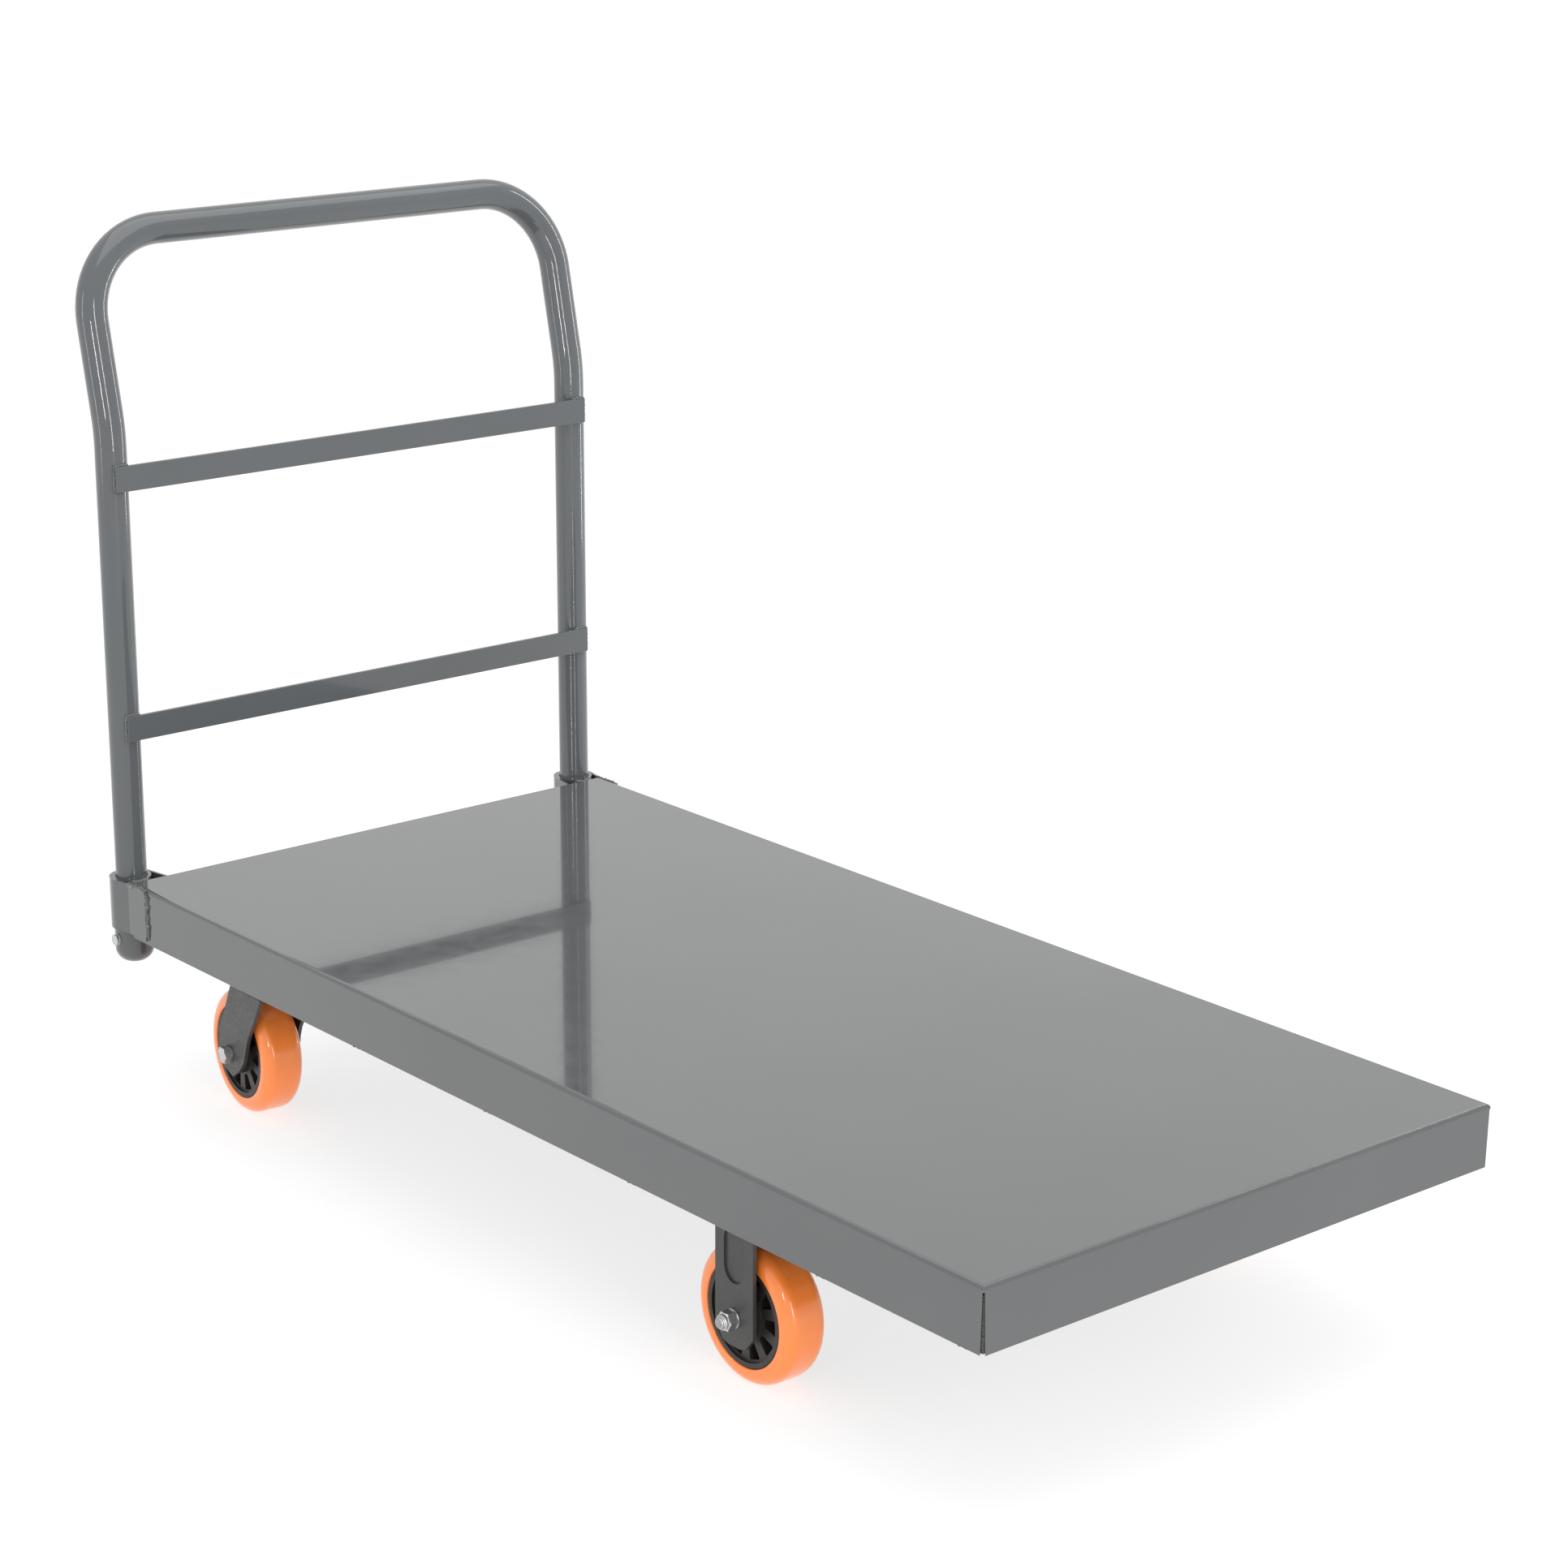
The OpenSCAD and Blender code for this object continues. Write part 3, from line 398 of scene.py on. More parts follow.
@dataclass(frozen=True)
class MouldedHub:
    """Black-brown moulded hub with a fine grain."""

    name: str = "hub_plastic"
    dark: Colour = (0.014, 0.011, 0.010)
    light: Colour = (0.026, 0.021, 0.019)
    rough: Range = (0.36, 0.52)
    cloud_scale: float = 50.0
    grain_scale: float = 300.0
    cell_scale: float = 1500.0
    cell_depth: float = 0.08 * MM

    def make(self) -> bpy.types.Material:
        """Builds the moulding.

        Returns:
            The material.
        """
        s = Shader(self.name)
        s.set(metallic=0.0, ior=1.5)
        s.colour(s.noise(self.cloud_scale, 4.0), self.dark, self.light)
        s.roughness(s.noise(self.grain_scale, 3.0), *self.rough)
        s.bumps([(s.cells(self.cell_scale), 0.2, self.cell_depth)])
        return s.material


@dataclass(frozen=True)
class NylonRing:
    """Locking ring of a lock nut."""

    name: str = "nylon_ring"
    dark: Colour = (0.50, 0.50, 0.47)
    light: Colour = (0.62, 0.62, 0.59)
    rough: Range = (0.4, 0.55)
    cloud_scale: float = 200.0
    grain_scale: float = 500.0

    def make(self) -> bpy.types.Material:
        """Builds the nylon.

        Returns:
            The material.
        """
        s = Shader(self.name)
        s.set(metallic=0.0, subsurface_weight=0.2, subsurface_scale=2 * MM)
        s.colour(s.noise(self.cloud_scale, 3.0), self.dark, self.light)
        s.roughness(s.noise(self.grain_scale), *self.rough)
        return s.material


@dataclass(frozen=True)
class PaleFloor:
    """Seamless white studio paper, lit a little from below."""

    name: str = "studio_paper"
    glow: float = 0.74
    dark: Colour = (0.29, 0.29, 0.29)
    light: Colour = (0.31, 0.31, 0.31)
    rough: Range = (0.8, 0.95)
    cloud_scale: float = 3.0
    grain_scale: float = 40.0

    def make(self) -> bpy.types.Material:
        """Builds the paper.

        Returns:
            The material.
        """
        s = Shader(self.name)
        s.set(metallic=0.0, specular_ior_level=0.05, emission_color=(1.0, 1.0, 1.0),
              emission_strength=self.glow)
        s.colour(s.noise(self.cloud_scale, 3.0), self.dark, self.light)
        s.roughness(s.noise(self.grain_scale), *self.rough)
        return s.material


class Finishes:
    """The truck's materials, each made once."""

    def __init__(self) -> None:
        """Builds every material."""
        self.by_slot = {
            Slot.FRAME: PowderCoat("frame_powder_coat", (0.074, 0.077, 0.079),
                                   (0.083, 0.086, 0.088)).make(),
            Slot.HANDLE: PowderCoat("handle_powder_coat", (0.085, 0.092, 0.097),
                                    (0.095, 0.103, 0.109), glaze=0.4,
                                    wave_scale=9.0).make(),
            Slot.FORK: SatinPaint("fork_paint", (0.034, 0.033, 0.032),
                                  (0.044, 0.042, 0.041)).make(),
            Slot.ZINC: ZincPlate().make(),
            Slot.STEEL: BareSteel().make(),
            Slot.HUB: MouldedHub().make(),
            Slot.TYRE: Urethane().make(),
        }
        self.nylon = NylonRing().make()
        self.paper = PaleFloor().make()

    def coat(self, piece: bpy.types.Object, slot: Slot) -> None:
        """Gives a piece one finish over all of it.

        Args:
            piece: The object.
            slot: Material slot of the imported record.
        """
        piece.data.materials.clear()
        piece.data.materials.append(self.by_slot[slot])


# ---- Mesh craft ----


def shade(mesh: bpy.types.Mesh, angle: float = 38.0) -> None:
    """Shades a mesh smooth, with an edge kept sharp where it bends more than an angle.

    Args:
        mesh: The mesh.
        angle: Largest bend that is smoothed, in degrees.
    """
    mesh.shade_smooth()
    mesh.set_sharp_from_angle(angle=math.radians(angle))


def piece_from(bm: bmesh.types.BMesh, name: str, material: bpy.types.Material, body: str,
               replaced: Sequence[str] = (), angle: float = 38.0) -> bpy.types.Object:
    """Turns a finished bmesh into a piece that rides on a body.

    Args:
        bm: The mesh, in metres in the truck's frame. It is freed.
        name: Name of the piece.
        material: Its finish.
        body: Name of the body it moves with.
        replaced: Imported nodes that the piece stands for.
        angle: Largest bend that is shaded smooth, in degrees.

    Returns:
        The new object.
    """
    bmesh.ops.recalc_face_normals(bm, faces=bm.faces)
    mesh = bpy.data.meshes.new(name)
    bm.to_mesh(mesh)
    bm.free()
    mesh.materials.append(material)
    shade(mesh, angle)
    piece = bpy.data.objects.new(name, mesh)
    bpy.context.scene.collection.objects.link(piece)
    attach(piece, body)
    if replaced:
        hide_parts(*replaced)
    log.info("%s: %d faces on %s", name, len(mesh.polygons), body)
    return piece


def softened(node: str, width: float, finishes: Finishes, slot: Slot, body: str = "chassis",
             sharp: float = 50.0) -> bpy.types.Object:
    """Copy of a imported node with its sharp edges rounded.

    Args:
        node: Name of the node, which the copy stands for.
        width: Width of the rounding, in metres.
        finishes: The truck's finishes.
        slot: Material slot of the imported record.
        body: Name of the body it moves with.
        sharp: Smallest bend that is rounded, in degrees.

    Returns:
        The new object.
    """
    bm = bmesh.new()
    bm.from_mesh(frame["nodes"][node].data)
    bmesh.ops.remove_doubles(bm, verts=bm.verts, dist=SAME_POINT)
    bmesh.ops.dissolve_limit(bm, angle_limit=FLAT, verts=bm.verts, edges=bm.edges)
    edges = [e for e in bm.edges if len(e.link_faces) == 2
             and e.calc_face_angle(0.0) > math.radians(sharp)]
    bmesh.ops.bevel(bm, geom=edges, offset=width, segments=2, profile=0.5,
                    affect="EDGES", clamp_overlap=True)
    piece = piece_from(bm, node + "_finished", finishes.by_slot[slot], body, [node])
    evened = piece.modifiers.new("even_normals", "WEIGHTED_NORMAL")
    evened.keep_sharp = True
    return piece


def ring(bm: bmesh.types.BMesh, at: Matrix, radius: Callable[[float], float],
         height: Callable[[float], float], count: int) -> Ring:
    """Adds one ring of points round a local Z axis.

    Args:
        bm: Mesh that gets the points.
        at: Place and direction of the axis.
        radius: Radius at an angle, in metres.
        height: Height along the axis at an angle, in metres.
        count: Number of points.

    Returns:
        The new points.
    """
    turns = [2 * math.pi * k / count for k in range(count)]
    return [bm.verts.new(at @ Vector((radius(a) * math.cos(a), radius(a) * math.sin(a),
                                      height(a)))) for a in turns]


def skin(bm: bmesh.types.BMesh, rings: Sequence[Ring], capped: bool = True) -> None:
    """Joins rings of as many points, each to the next, with bands of faces.

    Args:
        bm: Mesh that gets the faces.
        rings: The rings in order.
        capped: Whether the first and the last ring are closed by a face.
    """
    for first, second in zip(rings, rings[1:]):
        for k in range(len(first)):
            bm.faces.new((first[k - 1], first[k], second[k], second[k - 1]))
    if capped:
        bm.faces.new(rings[0])
        bm.faces.new(rings[-1])


def turned(bm: bmesh.types.BMesh, at: Matrix, profile: Sequence[tuple[float, float]],
           count: int = 48, closed: bool = False) -> None:
    """Turns a profile round a local Z axis.

    Args:
        bm: Mesh that gets the faces.
        at: Place and direction of the axis.
        profile: Radius and height of each point, in metres.
        count: Number of steps round the axis.
        closed: Whether the profile's end joins its start. Otherwise both ends are capped.
    """
    rings = [ring(bm, at, lambda a, r=r: r, lambda a, z=z: z, count) for r, z in profile]
    skin(bm, rings + rings[:1] if closed else rings, capped=not closed)


def rounded_profile(points: Sequence[tuple[float, float]], radius: float,
                    steps: int = 3) -> list[tuple[float, float]]:
    """Rounds every corner of a closed profile.

    Args:
        points: Corners of the profile, in metres.
        radius: Distance from each corner at which its rounding starts.
        steps: Steps of each rounding.

    Returns:
        The rounded profile's points.
    """
    rounded = []
    count = len(points)
    for k in range(count):
        before, corner, after = (Vector(points[(k + n) % count]) for n in (-1, 0, 1))
        start = corner + (before - corner).normalized() * radius
        end = corner + (after - corner).normalized() * radius
        for step in range(steps + 1):
            t = step / steps
            p = start * (1 - t) ** 2 + corner * 2 * t * (1 - t) + end * t ** 2
            rounded.append((p.x, p.y))
    return rounded


def along(axis: Vector, origin: Vector) -> Matrix:
    """Placement whose local Z runs along an axis.

    Args:
        axis: Direction of the local Z.
        origin: Place of the local origin, in metres.

    Returns:
        The placement.
    """
    turn = axis.normalized().to_track_quat("Z", "Y").to_matrix().to_4x4()
    return Matrix.Translation(origin) @ turn


@dataclass
class Hexagon:
    """Hexagonal head or nut with the corners turned off in arcs."""

    flats: float
    height: float
    bore: float = 0.0
    both_ends: bool = False
    steps: int = 60
    chamfer: float = math.radians(30)
    face_part: float = 0.95

    def radius(self, angle: float) -> float:
        """Distance from the axis to the flat at an angle."""
        across = (angle % (math.pi / 3)) - math.pi / 6
        return self.flats / 2 / math.cos(across)

    def fall(self, angle: float) -> float:
        """Height that the chamfer takes off the corner at an angle."""
        face_r = self.face_part * self.flats / 2
        return (self.radius(angle) - face_r) * math.tan(self.chamfer)

    def build(self, bm: bmesh.types.BMesh, at: Matrix) -> None:
        """Adds the hexagon, from the local origin upwards.

        Args:
            bm: Mesh that gets the faces.
            at: Place and direction of the axis.
        """
        face_r = self.face_part * self.flats / 2
        h = self.height
        low = self.fall if self.both_ends else (lambda a: 0.0)
        rings = [ring(bm, at, self.radius, low, self.steps),
                 ring(bm, at, self.radius, lambda a: h - self.fall(a), self.steps),
                 ring(bm, at, lambda a: face_r, lambda a: h, self.steps)]
        if self.both_ends:
            rings.insert(0, ring(bm, at, lambda a: face_r, lambda a: 0.0, self.steps))
        if self.bore:
            rings.append(ring(bm, at, lambda a: self.bore, lambda a: h, self.steps))
            rings.append(ring(bm, at, lambda a: self.bore, lambda a: 0.0, self.steps))
            rings.append(rings[0])
        skin(bm, rings, capped=not self.bore)


def threaded(bm: bmesh.types.BMesh, at: Matrix, radius: float, length: float,
             pitch: float, count: int = 24) -> None:
    """Adds a threaded rod from the local origin upwards.

    Args:
        bm: Mesh that gets the faces.
        at: Place and direction of the axis.
        radius: Radius over the thread, in metres.
        length: Length, in metres.
        pitch: Distance from one turn of the thread to the next, in metres.
        count: Number of steps round the axis.
    """
    depth = 0.45 * pitch
    steps_per_turn = 6
    thinnest_end = 0.45
    total = max(2, round(length / pitch * steps_per_turn))
    rings = []
    for level in range(total + 1):
        z = length * level / total
        taper = min(1.0, thinnest_end + (1 - thinnest_end) * (length - z) / pitch)

        def crest(angle: float, z: float = z, taper: float = taper) -> float:
            """Radius of the thread at an angle."""
            phase = (z / pitch - angle / (2 * math.pi)) % 1.0
            return radius - depth * (1 - taper) - depth * abs(2 * phase - 1) * taper

        rings.append(ring(bm, at, crest, lambda a, z=z: z, count))
    skin(bm, rings)


@dataclass
class WeldBead:
    """Rippled bead of weld metal along a path."""

    radius: float
    seed: int
    ripple: float = 2.4 * MM
    swell: float = 0.25
    drift: float = 0.3
    trough: float = 0.8
    tip: float = 0.35
    sides: int = 12
    per_ripple: int = 3

    def build(self, bm: bmesh.types.BMesh, path: Sequence[Vector]) -> None:
        """Adds the bead.

        Args:
            bm: Mesh that gets the faces.
            path: Corners of the path, in metres.
        """
        rng = random.Random(self.seed)
        stations = self._stations(path)
        total = len(stations) - 1
        rings = []
        for k, (place, heading) in enumerate(stations):
            end = min(1.0, self.tip + (1 - self.tip) * min(k, total - k) / self.per_ripple)
            crest = abs(math.sin(math.pi * k / self.per_ripple))
            wave = self.trough + (1 - self.trough) * crest
            if k % self.per_ripple == 0:
                drift = self.drift * self.radius * Vector([rng.random() - 0.5
                                                           for _ in range(3)])
                swell = 1 + self.swell * (rng.random() - 0.5)
            size = self.radius * end * wave * swell
            rings.append(ring(bm, along(heading, place + drift), lambda a, s=size: s,
                              lambda a: 0.0, self.sides))
        skin(bm, rings)

    def _stations(self, path: Sequence[Vector]) -> list[tuple[Vector, Vector]]:
        """Evenly spaced places along the path with their headings.

        Args:
            path: Corners of the path, in metres.

        Returns:
            Place and heading of each station.
        """
        step = self.ripple / self.per_ripple
        stations = []
        for start, end in zip(path, path[1:]):
            count = max(2, round((end - start).length / step))
            heading = (end - start).normalized()
            stations += [(start.lerp(end, k / count), heading) for k in range(count)]
        stations.append((path[-1], (path[-1] - path[-2]).normalized()))
        return stations


def weld(name: str, paths: Sequence[Sequence[Vector]], bead: WeldBead, finishes: Finishes,
         slot: Slot, body: str = "chassis") -> bpy.types.Object:
    """Lays painted weld beads along paths.

    Args:
        name: Name of the piece.
        paths: Corners of each bead's path, in metres.
        bead: Shape of the beads.
        finishes: The truck's finishes.
        slot: Material slot of the paint over them.
        body: Name of the body they move with.

    Returns:
        The new object.
    """
    bm = bmesh.new()
    for path in paths:
        bead.build(bm, path)
    return piece_from(bm, name, finishes.by_slot[slot], body, angle=75.0)


# ---- Sub-assemblies ----


@dataclass
class Deck:
    """Folded deck sheet with its ribs, channels and their welds."""

    finishes: Finishes
    edge: float = 0.5 * MM
    ribs: int = 5
    rib_bead: float = 1.7 * MM
    rib_weld_l: float = 50 * MM
    mark_half: float = 8 * MM
    mark_lift: float = 0.8 * MM
    channel_bead: float = 2.2 * MM
    channel_weld: Range = (10 * MM, 52 * MM)
    sheet: float = 2.7 * MM
    # Dark bead inside each corner slit, painted shade: its radius, and its gaps to the deck's
    # bottom and top
    corner_shade_bead: float = 4 * MM
    corner_low: float = 0.5 * MM
    corner_top: float = 8 * MM

    def build(self) -> None:
        """Rounds the sheet's cut edges, adds the welds and the dark corner beads that paint the
        slits' shade.
        """
        softened("deck_sheet", self.edge, self.finishes, Slot.FRAME)
        for node in self.members():
            softened(node, self.edge, self.finishes, Slot.FRAME)
        self.rib_welds()
        self.channel_welds()
        # Dark beads inside the corner slits are painted shade
        self.corner_welds()

    def members(self) -> list[str]:
        """Names of the cross members."""
        return [f"cross_rib_{k}" for k in range(1, self.ribs + 1)] + [
            "caster_channel_rear", "caster_channel_front"]

    def rib_welds(self) -> None:
        """Welds each rib's ends to the skirts, with a mark on the skirts' lower edge."""
        sheet_low, sheet_high = corners("deck_sheet")
        paths = []
        for k in range(1, self.ribs + 1):
            low, high = corners(f"cross_rib_{k}")
            for side in Side:
                y = (low if side is Side.RIGHT else high).y
                edge_y = (y + (sheet_low if side is Side.RIGHT else sheet_high).y) / 2
                paths.append([Vector((high.x + self.rib_bead / 2, y, z))
                              for z in (low.z, low.z + self.rib_weld_l)])
                paths.append([Vector((high.x + s * self.mark_half, edge_y,
                                      low.z + self.mark_lift)) for s in (-1, 1)])
        weld("rib_welds", paths, WeldBead(self.rib_bead, seed=3), self.finishes, Slot.FRAME)

    def corner_welds(self) -> None:
        """Lays a bead in dark fork paint just inside each corner slit: painted shade that keeps
        the slit dark down to its lower edge.
        """
        low, high = corners("deck_sheet")
        inset = self.sheet + self.corner_shade_bead / 2
        paths = []
        for x, way_x in ((low.x, 1), (high.x, -1)):
            for y, way_y in ((low.y, 1), (high.y, -1)):
                paths.append([Vector((x + way_x * inset, y + way_y * inset, z))
                              for z in (low.z + self.corner_low, high.z - self.corner_top)])
        bead = WeldBead(self.corner_shade_bead, seed=5, swell=0.1, drift=0.1)
        # The dark fork paint on these beads is painted shade inside the slits, not a bare weld
        weld("corner_welds", paths, bead, self.finishes, Slot.FORK)

    def channel_welds(self) -> None:
        """Welds the channels' flanges to the skirts."""
        paths = []
        for node in ("caster_channel_rear", "caster_channel_front"):
            low, high = corners(node)
            for x in (low.x, high.x):
                for y in (low.y, high.y):
                    paths.append([Vector((x, y, low.z + z)) for z in self.channel_weld])
        bead = WeldBead(self.channel_bead, seed=4)
        weld("channel_welds", paths, bead, self.finishes, Slot.FRAME)


@dataclass
class HandleSocket:
    """Sleeve and strap that hold one post of the handle."""

    finishes: Finishes
    side: Side
    edge: float = 0.5 * MM
    bead: float = 3.2 * MM
    end_gap: float = 1 * MM
    end_out: float = 0.6 * MM
    end_margins: Range = (1 * MM, 2 * MM)
    top_out: float = 0.8 * MM
    top_drop: float = 1.4 * MM
    top_past_deck: float = 7 * MM
    sleeve_sink: float = 0.2 * MM
    sleeve_drop: float = 2.8 * MM
    sleeve_arc: range = range(-38, 39, 6)

    def build(self) -> None:
        """Rounds the edges and adds the welds."""
        name = self.side.value
        softened(f"socket_sleeve_{name}", self.edge, self.finishes, Slot.FRAME,
                 sharp=40.0)
        softened(f"socket_strap_{name}", self.edge, self.finishes, Slot.FRAME)
        self.strap_welds()

    def strap_welds(self) -> None:
        """Welds the strap's end and upper edge to the deck, and the sleeve to the strap."""
        low, high = corners(f"socket_strap_{self.side.value}")
        deck_low, deck_high = corners("deck_sheet")
        outer = deck_low.y if self.side is Side.RIGHT else deck_high.y
        out = self.side.sign
        end_x = high.x + self.end_gap
        below, above = self.end_margins
        paths = [
            [Vector((end_x, outer + out * self.end_out, z))
             for z in (low.z + below, high.z - above)],
            [Vector((x, outer + out * self.top_out, high.z - self.top_drop))
             for x in (deck_low.x - self.top_past_deck, end_x)],
        ]
        sleeve_low, sleeve_high = corners(f"socket_sleeve_{self.side.value}")
        sleeve = (sleeve_low + sleeve_high) / 2
        radius = (sleeve_high.x - sleeve_low.x) / 2 - self.sleeve_sink
        weld_z = sleeve_high.z - self.sleeve_drop
        arc = [math.radians(a) for a in self.sleeve_arc]
        paths.append([Vector((sleeve.x + radius * math.cos(a),
                              sleeve.y + radius * math.sin(a), weld_z)) for a in arc])
        bead = WeldBead(self.bead, seed=7 + out, ripple=5 * MM, swell=0.5, drift=0.5)
        weld(f"strap_welds_{self.side.value}", paths, bead, self.finishes, Slot.FRAME)


@dataclass
class PushHandle:
    """Bent tube with its two flat crossbars."""

    finishes: Finishes
    edge: float = 0.6 * MM
    bead: float = 2.0 * MM
    seam_in: float = 0.8 * MM
    seam_back: float = 1 * MM
    end_out: float = 0.4 * MM
    end_past: float = 1 * MM
    upper_weld: Range = (0.5 * MM, 19 * MM)
    lower_weld: Range = (-0.4 * MM, 12 * MM)

    def build(self) -> None:
        """Dresses the tube, rounds the crossbars and welds them on."""
        tube = frame["nodes"]["handle_tube"]
        self.finishes.coat(tube, Slot.HANDLE)
        for node in ("crossbar_lower", "crossbar_upper"):
            softened(node, self.edge, self.finishes, Slot.HANDLE)
            self.bar_welds(node)

    def bar_welds(self, node: str) -> None:
        """Welds one crossbar's ends to the posts.

        Args:
            node: The crossbar's name.
        """
        low, high = corners(node)
        paths = []
        for side in Side:
            out = side.sign
            y = (low if side is Side.RIGHT else high).y
            seam_x = low.x + self.seam_in
            paths.append([Vector((seam_x, y + out * self.end_out, z))
                          for z in (low.z - self.end_past, high.z + self.end_past)])
            for edge, (lift, reach) in ((high, self.upper_weld), (low, self.lower_weld)):
                paths.append([Vector((seam_x - self.seam_back, y, edge.z + lift)),
                              Vector((seam_x, y - out * reach, edge.z + lift))])
        weld(node + "_welds", paths, WeldBead(self.bead, seed=11), self.finishes, Slot.HANDLE)


@dataclass
class LockButton:
    """Sprung button that holds one post in its socket."""

    finishes: Finishes
    side: Side
    edge: float = 0.25 * MM
    fold_r: float = 4 * MM
    pad_half: float = 6 * MM
    thickness: float = 1 * MM

    def build(self) -> None:
        """Rounds the button and adds its spring."""
        name = self.side.value
        softened(f"lock_button_{name}", self.edge, self.finishes, Slot.ZINC,
                 f"lock_button_{name}", sharp=30.0)
        self.spring()

    def spring(self) -> None:
        """Adds the leaf spring as a steel copy of the imported one."""
        name = self.side.value
        node = f"lock_spring_{name}"
        mesh = frame["nodes"][node].data.copy()
        leaf = bpy.data.objects.new(node + "_leaf", mesh)
        bpy.context.scene.collection.objects.link(leaf)
        self.finishes.coat(leaf, Slot.STEEL)
        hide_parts(node)
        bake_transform(leaf)


@dataclass
class CasterFastening:
    """Bolts and nuts that hold the caster plates to the channels."""

    finishes: Finishes
    pitch: float = 1.5 * MM
    flats_part: float = 1.6
    head_part: float = 0.64
    rim_part: float = 0.49
    rim_h: float = 0.6 * MM

    def build(self) -> None:
        """Replaces the plain bolts and nuts by chamfered and threaded ones."""
        low, high = corners("caster_bolts")
        nut_low, nut_high = corners("caster_nuts")
        boxes = self.islands()
        size = boxes[0][1] - boxes[0][0]
        flats = min(size.x, size.y)
        bolt_r = flats / self.flats_part / 2
        head_h = self.head_part * 2 * bolt_r
        rim = self.rim_part * flats
        bolts = bmesh.new()
        nuts = bmesh.new()
        for box_low, box_high in boxes:
            x, y, _ = (box_low + box_high) / 2
            # The head hangs under the plate, so its chamfered face looks down
            plate = Vector((x, y, low.z + head_h))
            down = along(-UP, plate)
            Hexagon(flats, head_h).build(bolts, down)
            turned(bolts, down, [(rim, 0.0), (rim, self.rim_h)])
            threaded(bolts, along(UP, plate), bolt_r, high.z - low.z - head_h, self.pitch)
            Hexagon(flats, nut_high.z - nut_low.z, bore=bolt_r + THREAD_PLAY,
                    both_ends=True).build(nuts, along(UP, Vector((x, y, nut_low.z))))
        zinc = self.finishes.by_slot[Slot.ZINC]
        piece_from(bolts, "caster_bolts_threaded", zinc, "chassis",
                   ["caster_bolts"])
        piece_from(nuts, "caster_nuts_chamfered", zinc, "chassis", ["caster_nuts"])

    def islands(self) -> list[Box]:
        """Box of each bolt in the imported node.

        Returns:
            The lowest and highest corner of each, in metres.
        """
        bm = bmesh.new()
        bm.from_mesh(frame["nodes"]["caster_bolts"].data)
        bmesh.ops.remove_doubles(bm, verts=bm.verts, dist=SAME_POINT)
        left = set(bm.verts)
        boxes = []
        while left:
            front = [left.pop()]
            found = list(front)
            while front:
                vert = front.pop()
                near = {e.other_vert(vert) for e in vert.link_edges} & left
                left -= near
                front += near
                found += near
            boxes.append(tuple(Vector([f(v.co[k] for v in found) for k in range(3)])
                               for f in (min, max)))
        bm.free()
        return sorted(boxes, key=lambda b: (round(b[0].x, 4), round(b[0].y, 4)))


